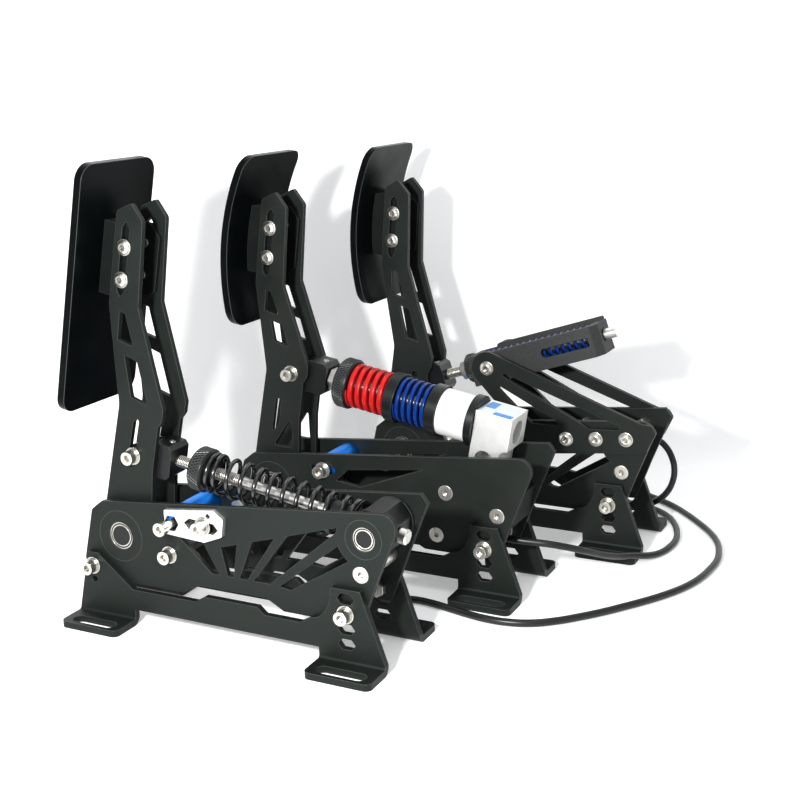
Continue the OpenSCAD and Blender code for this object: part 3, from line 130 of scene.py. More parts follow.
# Studio light: the world's colour and strength, and lamps as (name, place, target, size, power)
WORLD_COLOUR, WORLD_STRENGTH = (0.94, 0.975, 1, 1), 0.5
LAMPS = [
    ("key", (0.842, 0.098, 0.463), (-0.05, -0.02, 0.14), 0.07, 11.5),
    ("top", (0.3, 0.4, 1.7), (0, 0, 0.1), 1.2, 5),
    ("side", (0.1, 1.5, 0.5), (0, 0, 0.12), 1.2, 1.8),
]


class Graph:
    """A node tree under construction. A node's value may be a number or another node's socket."""

    def __init__(self, tree):
        self.tree = tree

    def add(self, kind, values=None, **settings):
        node = self.tree.nodes.new(kind)
        for name, value in settings.items():
            setattr(node, name, value)
        for socket, value in (values or {}).items():
            if isinstance(value, bpy.types.NodeSocket):
                self.link(value, node.inputs[socket])
            else:
                node.inputs[socket].default_value = value
        return node

    def link(self, output, socket):
        self.tree.links.new(output, socket)

    def math(self, operation, a, b=0.0):
        return self.add("ShaderNodeMath", {0: a, 1: b}, operation=operation).outputs[0]

    def ramp(self, value, start, end, low, high):
        """Goes from low to high while value goes from start to end, and no further."""
        steps = {"Value": value, 1: start, 2: end, 3: low, 4: high}
        return self.add("ShaderNodeMapRange", steps).outputs[0]


# Finishes

def finish(name, colour, roughness, metallic=0.0):
    """A material with its shader, its graph and object coordinates."""
    material = bpy.data.materials.new(name)
    material.use_nodes = True
    material.node_tree.nodes.clear()
    graph = Graph(material.node_tree)
    look = {"Base Color": (*colour, 1), "Roughness": roughness, "Metallic": metallic}
    shader = graph.add("ShaderNodeBsdfPrincipled", look)
    output = graph.add("ShaderNodeOutputMaterial")
    graph.link(shader.outputs[0], output.inputs["Surface"])
    place = graph.add("ShaderNodeTexCoord").outputs["Object"]
    return material, graph, shader, place


def noise(graph, place, scale, detail=4.0):
    return graph.add("ShaderNodeTexNoise", {"Vector": place, "Scale": scale, "Detail": detail}).outputs["Fac"]


def spread(graph, value, low, high):
    """A noise value, stretched to run from low to high."""
    return graph.ramp(value, 0.3, 0.7, low, high)


def shade(colour, share):
    return [c * share for c in colour]


def blend_colour(graph, amount, first, second):
    """Mixes two colours, each a triple or a socket."""
    first, second = (c if isinstance(c, bpy.types.NodeSocket) else (*c, 1) for c in (first, second))
    return graph.add("ShaderNodeMix", {"Factor": amount, 6: first, 7: second}, data_type="RGBA").outputs[2]


def sharp_edges(graph, radius):
    """How sharply the surface turns within radius, 0 on a face and 1 on an edge, and the softened normal."""
    soft = graph.add("ShaderNodeBevel", {"Radius": radius}, samples=6).outputs[0]
    true = graph.add("ShaderNodeNewGeometry").outputs["True Normal"]
    facing = graph.add("ShaderNodeVectorMath", {0: soft, 1: true}, operation="DOT_PRODUCT").outputs["Value"]
    return graph.ramp(facing, 0.995, 0.85, 0.0, 1.0), soft


def grain(graph, shader, height, strength, distance, normal=None):
    values = {"Height": height, "Strength": strength, "Distance": distance}
    if normal is not None:
        values["Normal"] = normal
    graph.link(graph.add("ShaderNodeBump", values).outputs[0], shader.inputs["Normal"])


def coated(name, colour, edge_colour, roughness, gloss, grain_scale, grain_height, edge_radius=0.0005):
    """Powder coat: fine grain, cloudy gloss, and paler edges that are part worn coat and part painted highlight.
    """
    material, graph, shader, place = finish(name, colour, roughness)
    shader.inputs["Specular IOR Level"].default_value = gloss
    shader.inputs["Specular Tint"].default_value = (0.9, 1, 0.95, 1)
    edge, soft = sharp_edges(graph, edge_radius)
    cloud = noise(graph, place, scale=40)
    tint = blend_colour(graph, spread(graph, cloud, 0, 0.5), colour, shade(colour, 1.5))
    # Paler edges: part worn coat, part painted highlight.
    paler_edges = blend_colour(graph, graph.math("MULTIPLY", edge, 0.6), tint, edge_colour)
    graph.link(paler_edges, shader.inputs["Base Color"])
    graph.link(spread(graph, cloud, roughness - 0.06, roughness + 0.06), shader.inputs["Roughness"])
    speckle = noise(graph, place, grain_scale, detail=2.0)
    grain(graph, shader, speckle, strength=0.35, distance=grain_height, normal=soft)
    return material


def metal(name, colour, roughness, streak=(1, 1, 1)):
    """Bare metal, with faint streaks along one axis in its gloss, and painted shade darkening its recesses."""
    material, graph, shader, place = finish(name, colour, roughness, metallic=1.0)
    along = graph.add("ShaderNodeMapping", {"Vector": place, "Scale": streak}).outputs[0]
    lines = noise(graph, along, scale=700, detail=2.0)
    graph.link(spread(graph, lines, roughness * 0.9, roughness * 1.12), shader.inputs["Roughness"])
    cloud = spread(graph, noise(graph, place, scale=60), 0, 1)
    tint = blend_colour(graph, cloud, colour, shade(colour, 0.9))
    # Painted shade: ambient occlusion darkens the colour in sockets and other recesses.
    open_sky = graph.add("ShaderNodeAmbientOcclusion", {"Distance": 0.003}, samples=16).outputs["AO"]
    painted_recess_shade = graph.ramp(open_sky, 0.25, 0.9, 0.9, 0.0)
    graph.link(blend_colour(graph, painted_recess_shade, tint, shade(colour, 0.06)), shader.inputs["Base Color"])
    _, soft = sharp_edges(graph, 0.0006)
    grain(graph, shader, lines, strength=0.03, distance=0.00005, normal=soft)
    return material


def painted_wire(name, colour, roughness, gloss):
    """Gloss paint on spring wire, a little uneven."""
    material, graph, shader, place = finish(name, colour, roughness)
    shader.inputs["Specular IOR Level"].default_value = gloss
    cloud = spread(graph, noise(graph, place, scale=90), 0, 1)
    graph.link(blend_colour(graph, cloud, colour, shade(colour, 0.78)), shader.inputs["Base Color"])
    grain(graph, shader, noise(graph, place, scale=700, detail=2.0), strength=0.12, distance=0.0001)
    return material


def moulded(name, colour, roughness, gloss=0.3):
    """Moulded plastic or rubber: fine even grain."""
    material, graph, shader, place = finish(name, colour, roughness)
    shader.inputs["Specular IOR Level"].default_value = gloss
    _, soft = sharp_edges(graph, 0.0005)
    cloud = noise(graph, place, scale=70)
    tint = blend_colour(graph, spread(graph, cloud, 0, 1), colour, shade(colour, 0.85))
    graph.link(tint, shader.inputs["Base Color"])
    graph.link(spread(graph, cloud, roughness - 0.05, roughness + 0.05), shader.inputs["Roughness"])
    speckle = noise(graph, place, scale=1600, detail=2.0)
    grain(graph, shader, speckle, strength=0.2, distance=0.00008, normal=soft)
    return material


def printed(name, colour, pale, roughness):
    """Laser-printed plastic: coarse speckled grain and soft edges."""
    material, graph, shader, place = finish(name, colour, roughness)
    shader.inputs["Specular IOR Level"].default_value = 0.5
    edge, soft = sharp_edges(graph, 0.0007)
    speckle = noise(graph, place, scale=1100, detail=3.0)
    tint = blend_colour(graph, spread(graph, speckle, 0, 1), colour, pale)
    paler_edges = blend_colour(graph, graph.math("MULTIPLY", edge, 0.5), tint, pale)
    graph.link(paler_edges, shader.inputs["Base Color"])
    grain(graph, shader, speckle, strength=0.6, distance=0.0003, normal=soft)
    return material


FINISHES = {
    "black_coated_steel": coated(
        "black_coated_steel", (0.0066, 0.0085, 0.0074), edge_colour=(0.14, 0.15, 0.14),
        roughness=0.50, gloss=0.21, grain_scale=1500, grain_height=0.0001),
    "black_machined_metal": coated(
        "black_machined_metal", (0.0055, 0.0055, 0.006), edge_colour=(0.085, 0.085, 0.085),
        roughness=0.36, gloss=0.30, grain_scale=2400, grain_height=0.00005),
    "zinc_steel": metal("zinc_steel", (0.82, 0.79, 0.72), roughness=0.30, streak=(1, 1, 0.15)),
    "bare_aluminium": metal("bare_aluminium", (0.84, 0.84, 0.82), roughness=0.48, streak=(0.1, 1, 1)),
    "blue_anodised": metal("blue_anodised", (0.012, 0.27, 0.95), roughness=0.42, streak=(0.1, 1, 1)),
    "black_plastic": moulded("black_plastic", (0.008, 0.008, 0.0085), roughness=0.5),
    "white_plastic": moulded("white_plastic", (0.82, 0.82, 0.81), roughness=0.38),
    "black_spring": painted_wire("black_spring", (0.004, 0.004, 0.0045), roughness=0.2, gloss=0.9),
    "red_spring": painted_wire("red_spring", (0.55, 0.010, 0.010), roughness=0.30, gloss=0.3),
    "blue_spring": painted_wire("blue_spring", (0.002, 0.030, 0.19), roughness=0.22, gloss=0.22),
    "lead_jacket": moulded("lead_jacket", (0.006, 0.007, 0.007), roughness=0.36, gloss=0.4),
}
# Knurl finish: its paler ridge edges are part worn tips and part painted highlight.
KNURLED = coated(
    "knurled_metal", (0.03, 0.032, 0.03), edge_colour=(0.09, 0.094, 0.09),
    roughness=0.34, gloss=0.3, grain_scale=2400, grain_height=0.00003, edge_radius=0.00012)
# Satin pad finish; its paler edges are painted highlight along the pads' rounded rims.
PAD = coated(
    "smooth_pad", (0.0008, 0.0015, 0.0018), edge_colour=(0.15, 0.155, 0.145),
    roughness=0.34, gloss=0.085, grain_scale=2200, grain_height=0.00003, edge_radius=0.0009)
# Darker, less glossy copy of the black coat for the pad brackets: painted shade.
SHADED_CHANNEL = coated(
    "dark_channel", (0.0042, 0.0055, 0.005), edge_colour=(0.09, 0.095, 0.09),
    roughness=0.52, gloss=0.12, grain_scale=1500, grain_height=0.0001)
GROUND_ROD = metal("ground_rod", (0.86, 0.84, 0.79), roughness=0.3, streak=(1, 0.1, 1))
# Dark colour of the thread roots: painted shade between the ridges.
PAINTED_ROOT_SHADE = metal("thread_root", (0.24, 0.22, 0.19), roughness=0.45)

# Nodes whose finish isn't the one of their slot
NODE_FINISHES = {
    "bearing_discs": FINISHES["black_coated_steel"],
    "clutch_spring_housing": printed(
        "printed_plastic", (0.004, 0.0046, 0.0043), pale=(0.022, 0.024, 0.0225), roughness=0.6),
}
for pedal in PEDALS:
    NODE_FINISHES[f"{pedal}_rod"] = GROUND_ROD
    NODE_FINISHES[f"{pedal}_pad"] = PAD
    NODE_FINISHES[f"{pedal}_pad_bracket"] = SHADED_CHANNEL
for part in frame["record"]["subparts"]:
    for slot in nodes[part["node"]].material_slots:
        slot.material = NODE_FINISHES.get(part["node"], FINISHES[part["material_slot"]])


# Rods: a frame at the clevis bolt with z along the rod, taken from the joint that turns its knob

def rod_matrix(pedal):
    joint = joints[f"{pedal}_knob_turn"]
    along = Vector(joint["axis"]).normalized()
    turned = Matrix((ACROSS, along.cross(ACROSS), along)).transposed().to_4x4()
    return Matrix.Translation(Vector(joint["pos_m"])) @ turned


RODS = {pedal: rod_matrix(pedal) for pedal in PEDALS}


def on_rod(node, pedal):
    """A node's first and last place along its pedal's rod, and its inner and outer radius."""
    back = RODS[pedal].inverted()
    points = [back @ v.co for v in nodes[node].data.vertices]
    along = [p.z for p in points]
    reach = [math.hypot(p.x, p.y) for p in points]
    return min(along), max(along), min(reach), max(reach)


def on_rod_mm(node, pedal):
    return [v / MM for v in on_rod(node, pedal)]


def along_rod(pedal):
    return RODS[pedal].to_3x3() @ Vector((0, 0, 1))


# Geometry node trees

FLOAT, COUNT, MATERIAL = "NodeSocketFloat", "NodeSocketInt", "NodeSocketMaterial"


def new_tree(name, sizes):
    """A geometry tree with named inputs, and its graph."""
    tree = bpy.data.node_groups.new(name, "GeometryNodeTree")
    tree.interface.new_socket("Geometry", in_out="OUTPUT", socket_type="NodeSocketGeometry")
    for label, kind in sizes:
        tree.interface.new_socket(label, in_out="INPUT", socket_type=kind)
    graph = Graph(tree)
    return tree, graph, graph.add("NodeGroupInput").outputs


def close_tree(graph, geometry, material):
    whole = graph.add("GeometryNodeRealizeInstances", {"Geometry": geometry}).outputs[0]
    painted = graph.add("GeometryNodeSetMaterial", {"Geometry": whole, "Material": material}).outputs[0]
    graph.add("NodeGroupOutput", {"Geometry": painted})


def round_place(graph, radius, angle, height=0.0):
    """A point at an angle and a height on a cylinder about z."""
    return graph.add("ShaderNodeCombineXYZ", {
        0: graph.math("MULTIPLY", radius, graph.math("COSINE", angle)),
        1: graph.math("MULTIPLY", radius, graph.math("SINE", angle)),
        2: height,
    }).outputs[0]


def wire_section(graph, given, flat):
    if flat:
        size = {"Width": given["Radial wire"], "Height": given["Axial wire"]}
        sharp = graph.add("GeometryNodeCurvePrimitiveQuadrilateral", size).outputs[0]
        corner = graph.math("MULTIPLY", given["Axial wire"], FLAT_WIRE_CORNER)
        rounding = {"Curve": sharp, "Radius": corner, "Count": 3}
        return graph.add("GeometryNodeFilletCurve", rounding, mode="POLY").outputs[0]
    radius = graph.math("MULTIPLY", given["Radial wire"], 0.5)
    size = {"Resolution": ROUND_WIRE_SIDES, "Radius": radius}
    return graph.add("GeometryNodeCurvePrimitiveCircle", size).outputs[0]


def coil_tree(name, flat):
    """One flat or round wire along a helix about z. Its end turns lie close, and are ground if Ground is 1."""
    tree, graph, given = new_tree(name, [
        ("Turns", FLOAT), ("Length", FLOAT), ("Mean radius", FLOAT), ("Radial wire", FLOAT),
        ("Axial wire", FLOAT), ("End pitch", FLOAT), ("End turns", FLOAT), ("Ground", FLOAT),
        ("Points", COUNT), ("Material", MATERIAL),
    ])
    line = graph.add("GeometryNodeCurvePrimitiveLine").outputs[0]
    steps = {"Curve": line, "Count": given["Points"]}
    line = graph.add("GeometryNodeResampleCurve", steps, mode="COUNT").outputs[0]
    factor = graph.add("GeometryNodeSplineParameter").outputs["Factor"]
    angle = graph.math("MULTIPLY", graph.math("MULTIPLY", factor, given["Turns"]), 2 * math.pi)
    first = graph.math("DIVIDE", given["End turns"], given["Turns"])
    last = graph.math("SUBTRACT", 1.0, first)
    ground = graph.math("MULTIPLY", given["Ground"], GROUND_SHARE)
    start = graph.math("MULTIPLY", given["Axial wire"], graph.math("SUBTRACT", 0.5, ground))
    close_part = graph.math("MULTIPLY", given["End pitch"], given["End turns"])
    both_ends = graph.math("MULTIPLY", graph.math("ADD", close_part, start), 2.0)
    open_part = graph.math("SUBTRACT", given["Length"], both_ends)
    climbs = [
        graph.ramp(factor, 0.0, first, 0.0, close_part),
        graph.ramp(factor, first, last, 0.0, open_part),
        graph.ramp(factor, last, 1.0, 0.0, close_part),
    ]
    climb = graph.math("ADD", graph.math("ADD", climbs[0], climbs[1]), climbs[2])
    place = round_place(graph, given["Mean radius"], angle, graph.math("ADD", climb, start))
    helix = graph.add("GeometryNodeSetPosition", {"Geometry": line, "Position": place}).outputs[0]
    helix = graph.add("GeometryNodeSetCurveNormal", {"Curve": helix}, mode="Z_UP").outputs[0]
    sweep = {"Curve": helix, "Profile Curve": wire_section(graph, given, flat), "Fill Caps": True}
    wire = graph.add("GeometryNodeCurveToMesh", sweep).outputs[0]
    position = graph.add("GeometryNodeInputPosition").outputs[0]
    spot = graph.add("ShaderNodeSeparateXYZ", {"Vector": position}).outputs
    level = graph.math("MINIMUM", graph.math("MAXIMUM", spot[2], 0.0), given["Length"])
    flat_ends = graph.add("ShaderNodeCombineXYZ", {0: spot[0], 1: spot[1], 2: level}).outputs[0]
    wire = graph.add("GeometryNodeSetPosition", {"Geometry": wire, "Position": flat_ends}).outputs[0]
    smooth = graph.add("GeometryNodeSetShadeSmooth", {"Geometry": wire}).outputs[0]
    close_tree(graph, smooth, given["Material"])
    return tree


def knurl_tree():
    """Crossed slanted ridges round z, a diamond knurl."""
    tree, graph, given = new_tree("knurl", [
        ("Ridges", COUNT), ("Radius", FLOAT), ("Width", FLOAT), ("Ridge size", FLOAT), ("Slant", FLOAT),
        ("Material", MATERIAL),
    ])
    index = graph.add("GeometryNodeInputIndex").outputs[0]
    turn = graph.math("MULTIPLY", index, graph.math("DIVIDE", 2 * math.pi, given["Ridges"]))
    place = round_place(graph, given["Radius"], turn)
    points = graph.add("GeometryNodePoints", {"Count": given["Ridges"], "Position": place}).outputs[0]
    size = {"Vertices": 4, "Radius": given["Ridge size"], "Depth": given["Width"]}
    ridge = graph.add("GeometryNodeMeshCylinder", size).outputs["Mesh"]
    both = graph.add("GeometryNodeJoinGeometry")
    for side in (1.0, -1.0):
        lean = graph.math("MULTIPLY", given["Slant"], side)
        aim = graph.add("ShaderNodeCombineXYZ", {0: lean, 2: turn}).outputs[0]
        ring = {"Points": points, "Instance": ridge, "Rotation": aim}
        graph.link(graph.add("GeometryNodeInstanceOnPoints", ring).outputs[0], both.inputs[0])
    close_tree(graph, both.outputs[0], given["Material"])
    return tree


def add_piece(name, data, body):
    """An object in the scene that rides on a body."""
    piece = bpy.data.objects.new(name, data)
    bpy.context.scene.collection.objects.link(piece)
    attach(piece, body)
    return piece


def grow(name, tree, matrix, body, slot, material=None, **sizes):
    """A piece made by a tree, turned into a plain mesh, placed by matrix and set to ride on a body."""
    holder = bpy.data.objects.new(name + "_maker", bpy.data.meshes.new(name))
    bpy.context.scene.collection.objects.link(holder)
    modifier = holder.modifiers.new("make", "NODES")
    modifier.node_group = tree
    sizes["Material"] = material or FINISHES[slot]
    for socket in tree.interface.items_tree:
        if socket.in_out == "INPUT":
            modifier[socket.identifier] = sizes[socket.name.replace(" ", "_")]
    evaluated = holder.evaluated_get(bpy.context.evaluated_depsgraph_get())
    mesh = bpy.data.meshes.new_from_object(evaluated)
    bpy.data.objects.remove(holder)
    mesh.transform(matrix)
    mesh.materials.clear()
    mesh.materials.append(sizes["Material"])
    mesh.polygons.foreach_set("material_index", [0] * len(mesh.polygons))
    mesh.name = name
    return add_piece(name, mesh, body)


ROUND_COIL = coil_tree("round_coil", flat=False)
FLAT_COIL = coil_tree("flat_coil", flat=True)
KNURL = knurl_tree()


# Springs

def spring(node, pedal, tree, body, slot, turns, end_turns, radial, axial):
    """Winds a spring in place of its solid. Its fixed end stays."""
    first, last, _, outer = on_rod(node, pedal)
    matrix = RODS[pedal] @ Matrix.Translation((0, 0, first))
    piece = grow(node + "_wire", tree, matrix, body, slot, Turns=float(turns), Length=last - first,
                 Mean_radius=outer - radial / 2, Radial_wire=radial, Axial_wire=axial,
                 End_pitch=axial * END_PITCH_SHARE, End_turns=end_turns, Ground=1.0,
                 Points=turns * SPRING_STEPS)
    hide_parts(node)
    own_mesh(piece)


spring("throttle_spring", "throttle", ROUND_COIL, "throttle_rod", "black_spring", turns=13, end_turns=1.7,
       radial=3.4 * MM, axial=3.4 * MM)
spring("brake_red_spring", "brake", FLAT_COIL, "brake_rod", "red_spring", turns=6, end_turns=1.0,
       radial=6.5 * MM, axial=3.9 * MM)
spring("brake_blue_spring", "brake", FLAT_COIL, "brake_separator", "blue_spring", turns=6, end_turns=1.0,
       radial=6.5 * MM, axial=3 * MM)
spring("clutch_spring", "clutch", ROUND_COIL, "clutch_housing", "blue_spring", turns=18, end_turns=1.0,
       radial=2.5 * MM, axial=2.5 * MM)


# Knurls on the three knobs

def knurl(pedal, first, last, ridges):
    """A knurled band on a pedal's knob; first and last are millimetres behind the knob's front."""
    knob = f"{pedal}_knob"
    start, _, _, outer = on_rod(knob, pedal)
    low, high = start + first * MM, start + last * MM
    matrix = RODS[pedal] @ Matrix.Translation((0, 0, (low + high) / 2))
    grow(knob + "_knurl", KNURL, matrix, knob, "black_machined_metal", KNURLED, Ridges=ridges,
         Radius=outer - RIDGE_SINK, Width=(high - low) * RIDGE_OVERLENGTH, Ridge_size=RIDGE_SIZE,
         Slant=RIDGE_SLANT)


for pedal, (first, last, ridges) in KNURL_BANDS.items():
    knurl(pedal, first, last, ridges)


# Lofted pieces: skins over round and hexagonal loops

LOOP = 96


def round_loop(radius, z):
    angles = [2 * math.pi * i / LOOP for i in range(LOOP)]
    return [Vector((radius * math.cos(a), radius * math.sin(a), z)) for a in angles]


def hex_loop(flats, z):
    """A hexagon, flats apart, sampled at the same angles as a round loop."""
    points = []
    for i, direction in enumerate(round_loop(1, 0)):
        off_flat = 2 * math.pi * i / LOOP % (math.pi / 3) - math.pi / 6
        points.append(direction * (flats / 2 / math.cos(off_flat)) + Vector((0, 0, z)))
    return points


def in_mm(loops):
    return [[p * MM for p in loop] for loop in loops]


def loft(whole, loops, matrix, closed=False):
    """A skin over loops that lie one after another; capped at both ends, or closed back on the first."""
    rows = [[whole.verts.new(matrix @ p) for p in loop] for loop in loops]
    pairs = list(zip(rows, rows[1:])) + ([(rows[-1], rows[0])] if closed else [])
    for low, high in pairs:
        for i in range(LOOP):
            j = (i + 1) % LOOP
            whole.faces.new((low[i], low[j], high[j], high[i]))
    if not closed:
        whole.faces.new(rows[0][::-1])
        whole.faces.new(rows[-1])


def finish_piece(name, whole, body, slot, material=None):
    """A bmesh made into a piece that rides on a body."""
    bmesh.ops.recalc_face_normals(whole, faces=whole.faces[:])
    mesh = bpy.data.meshes.new(name)
    whole.to_mesh(mesh)
    whole.free()
    mesh.materials.append(material or FINISHES[slot])
    return add_piece(name, mesh, body)


# Threads on the rods where they show

def thread(name, pedal, first, last, radius):
    """Bright ridges on a darker root, whose dark colour is painted shade between the ridges."""
    body = f"{pedal}_rod"
    inner, outer = radius - ROOT_DEPTH, radius + ROOT_PROUD
    skin = [(inner, first), (outer, first), (outer, last), (inner, last)]
    whole = bmesh.new()
    loft(whole, [round_loop(r, z) for r, z in skin], RODS[pedal], closed=True)
    finish_piece(name + "_root", whole, body, "zinc_steel", PAINTED_ROOT_SHADE)
    turns = (last - first) / THREAD_PITCH
    ridge = THREAD_RIDGE_SHARE * THREAD_PITCH
    matrix = RODS[pedal] @ Matrix.Translation((0, 0, first))
    grow(name, ROUND_COIL, matrix, body, "zinc_steel", Turns=turns, Length=last - first, Mean_radius=radius,
         Radial_wire=ridge, Axial_wire=ridge, End_pitch=THREAD_PITCH, End_turns=1.0, Ground=0.0,
         Points=int(turns * THREAD_STEPS))


def rod_threads():
    _, clevis_end, _, _ = on_rod("throttle_clevis", "throttle")
    knob_start, knob_end, _, _ = on_rod("throttle_knob", "throttle")
    thread("throttle_rod_thread", "throttle", clevis_end, knob_start, radius=4 * MM)
    thread("throttle_rod_spring_thread", "throttle", knob_end, knob_end + SPRING_THREAD_LENGTH, radius=4 * MM)
    _, clevis_end, _, _ = on_rod("brake_clevis", "brake")
    knob_start, _, _, _ = on_rod("brake_knob", "brake")
    thread("brake_rod_thread", "brake", clevis_end, knob_start, radius=5 * MM)
    _, clevis_end, _, _ = on_rod("clutch_clevis", "clutch")
    knob_start, _, _, _ = on_rod("clutch_knob", "clutch")
    thread("clutch_rod_thread", "clutch", clevis_end, knob_start - CLUTCH_THREAD_GAP, radius=4.1 * MM)


# Wheels, discs and sleeve on the rods

def eased(corners, size):
    """A closed profile with its corners cut by size."""
    points = []
    for i, (r, z) in enumerate(corners):
        for r2, z2 in (corners[i - 1], corners[(i + 1) % len(corners)]):
            span = math.hypot(r2 - r, z2 - z)
            step = min(size, span / 3) / span
            points.append((r + (r2 - r) * step, z + (z2 - z) * step))
    return points


def turned(name, node, pedal, body, slot, corners, ease=0.4):
    """A smooth turned piece in place of a node; corners are (radius, place along the rod) in millimetres."""
    whole = bmesh.new()
    loops = [round_loop(r, z) for r, z in eased(corners, ease)]
    loft(whole, in_mm(loops), RODS[pedal], closed=True)
    piece = finish_piece(name, whole, body, slot)
    piece.data.polygons.foreach_set("use_smooth", [True] * len(piece.data.polygons))
    piece.data.set_sharp_from_angle(angle=math.radians(30))
    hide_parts(node)


def turned_pieces():
    """In each profile a and b are the node's ends along the rod, and r is its outer radius."""
    slot = "black_machined_metal"
    wheel_ease, sleeve_ease = 0.25, 0.2
    wheel, chamfer = 12, 1.5
    spigot, spigot_length = 10.5, 4
    a, b, bore, r = on_rod_mm("brake_knob", "brake")
    turned("brake_wheel", "brake_knob", "brake", "brake_knob", slot, [
        (bore, a), (r - chamfer, a), (r, a + chamfer), (r, a + wheel - 1), (r - 1, a + wheel),
        (spigot, a + wheel), (spigot, b), (bore, b)], wheel_ease)

    a, b, bore, r = on_rod_mm("brake_spring_separator", "brake")
    low, high = a + spigot_length, b - spigot_length
    turned("brake_separator_disc", "brake_spring_separator", "brake", "brake_separator", slot, [
        (bore, a), (spigot, a), (spigot, low), (r, low), (r, high), (spigot, high), (spigot, b), (bore, b)])

    a, b, bore, r = on_rod_mm("brake_spring_seats", "brake")
    cup_radius, cup_end = r - 0.5, a + 13
    ring_start = b - 6.5
    low = a + spigot_length
    turned("brake_spring_cup", "brake_spring_seats", "brake", "brake_seats", slot, [
        (bore, a), (spigot, a), (spigot, low), (cup_radius, low), (cup_radius, cup_end), (bore, cup_end)])
    turned("brake_end_ring", "brake_spring_seats", "brake", "brake_seats", slot, [
        (bore, ring_start), (r, ring_start), (r, b), (bore, b)])

    a, b, bore, r = on_rod_mm("brake_sleeve", "brake")
    turned("brake_white_sleeve", "brake_sleeve", "brake", "brake_seats", "white_plastic", [
        (bore, a), (r, a), (r, b), (bore, b)], sleeve_ease)

    a, b, bore, r = on_rod_mm("throttle_knob", "throttle")
    collar = 9.2
    turned("throttle_wheel", "throttle_knob", "throttle", "throttle_knob", slot, [
        (bore, a), (r - chamfer, a), (r, a + chamfer), (r, a + wheel - chamfer), (r - chamfer, a + wheel),
        (collar, a + wheel), (collar, b), (bore, b)], wheel_ease)

    a, b, bore, r = on_rod_mm("clutch_knob", "clutch")
    front, back = a + 6.5, a + 14
    front_chamfer, nose = 0.8, 7.95
    turned("clutch_wheel", "clutch_knob", "clutch", "clutch_knob", slot, [
        (bore, front), (r - front_chamfer, front), (r, front + front_chamfer), (r, back - 1), (r - 1, back),
        (nose, back), (nose, b), (bore, b)], wheel_ease)


# Small hardware: grub screws in the clevises, the clutch's lock nut, the bearings' seals, the cell's label

def grub_screw(pedal):
    """Set screw with a hexagon socket, in the hole on top of a clevis."""
    along = 22 * MM
    radius, low, top, chamfer = 2.4, 6.5, 13.5, 0.3
    socket, socket_depth = 2.5, 2
    place = RODS[pedal] @ Matrix.Translation((0, 0, along)) @ Matrix.Rotation(math.radians(-90), 4, "X")
    if (place.to_3x3() @ Vector((0, 0, 1))).z < 0:
        place = place @ Matrix.Rotation(math.pi, 4, "X")
    loops = [
        round_loop(radius, low), round_loop(radius, top - chamfer), round_loop(radius - chamfer, top),
        hex_loop(socket, top), hex_loop(socket, top - socket_depth),
    ]
    whole = bmesh.new()
    loft(whole, in_mm(loops), place)
    finish_piece(f"{pedal}_grub_screw", whole, f"{pedal}_rod", "zinc_steel")


def clutch_lock_nut():
    """Bright hexagon nut with chamfered corners, over the plain one on the clutch knob."""
    flats, thickness, proud = 15.3, 6.5, 0.08
    chamfer, chamfer_radius = 0.6, 7.3
    start, _, bore, _ = on_rod_mm("clutch_knob", "clutch")
    first = start - proud
    last = first + thickness
    loops = [
        round_loop(bore, first), round_loop(chamfer_radius, first), hex_loop(flats, first + chamfer),
        hex_loop(flats, last), round_loop(bore, last),
    ]
    whole = bmesh.new()
    loft(whole, in_mm(loops), RODS["clutch"], closed=True)
    piece = finish_piece("clutch_lock_nut", whole, "clutch_knob", "zinc_steel")
    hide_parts("clutch_knob")


def bearing_seals():
    """Dark ring in each bearing's groove, so that only its two races shine."""
    search_across, search_round = 0.04, 0.013
    sunk_front, sunk_back, clear_of_race = 0.1 * MM, 0.39 * MM, 0.06 * MM
    whole = bmesh.new()
    verts = [v.co for v in nodes["axle_bearings"].data.vertices]
    for name in ("throttle_press", "brake_press", "clutch_press", "throttle_guide_turn"):
        middle = Vector(joints[name]["pos_m"])
        aside = [(abs(v.x - middle.x), math.hypot(v.y - middle.y, v.z - middle.z)) for v in verts]
        near = [(x, r) for x, r in aside if x < search_across and r < search_round]
        face = max(x for x, _ in near)
        bore = min(r for _, r in near)
        outside = max(r for _, r in near)
        race = (outside - bore) / 3 + clear_of_race
        inner, outer = bore + race, outside - race
        back, front = face - sunk_back, face - sunk_front
        corners = [(inner, back), (outer, back), (outer, front), (inner, front)]
        loops = [round_loop(r, x) for r, x in corners]
        for side in (1, -1):
            turn = Matrix.Translation(middle) @ Matrix.Rotation(side * math.pi / 2, 4, "Y")
            loft(whole, loops, turn, closed=True)
    finish_piece("bearing_seals", whole, "base", "black_plastic")


def label_film(along, middle_x, label_start):
    """Pale film with a blue strip and a blue block; it carries no letters."""
    strip_aside, strip_from = 8.5 * MM, 13 * MM
    block_aside, block_to = 3 * MM, 10 * MM
    film = (0.72, 0.78, 0.84)
    material, graph, shader, place = finish("label_film", film, roughness=0.45)
    aside = graph.add("ShaderNodeSeparateXYZ", {"Vector": place}).outputs[0]
    axis = {0: place, 1: tuple(along)}
    down_rod = graph.add("ShaderNodeVectorMath", axis, operation="DOT_PRODUCT").outputs["Value"]
    strip = graph.math("MULTIPLY", graph.math("GREATER_THAN", aside, middle_x + strip_aside),
                       graph.math("GREATER_THAN", down_rod, label_start + strip_from))
    block = graph.math("MULTIPLY", graph.math("LESS_THAN", aside, middle_x + block_aside),
                       graph.math("LESS_THAN", down_rod, label_start + block_to))
    cloud = spread(graph, noise(graph, place, scale=300), 0, 1)
    pale = blend_colour(graph, cloud, film, (0.62, 0.70, 0.78))
    deep = blend_colour(graph, cloud, (0.03, 0.20, 0.55), (0.05, 0.25, 0.62))
    blue = graph.math("MAXIMUM", strip, block)
    graph.link(blend_colour(graph, blue, pale, deep), shader.inputs["Base Color"])
    return material


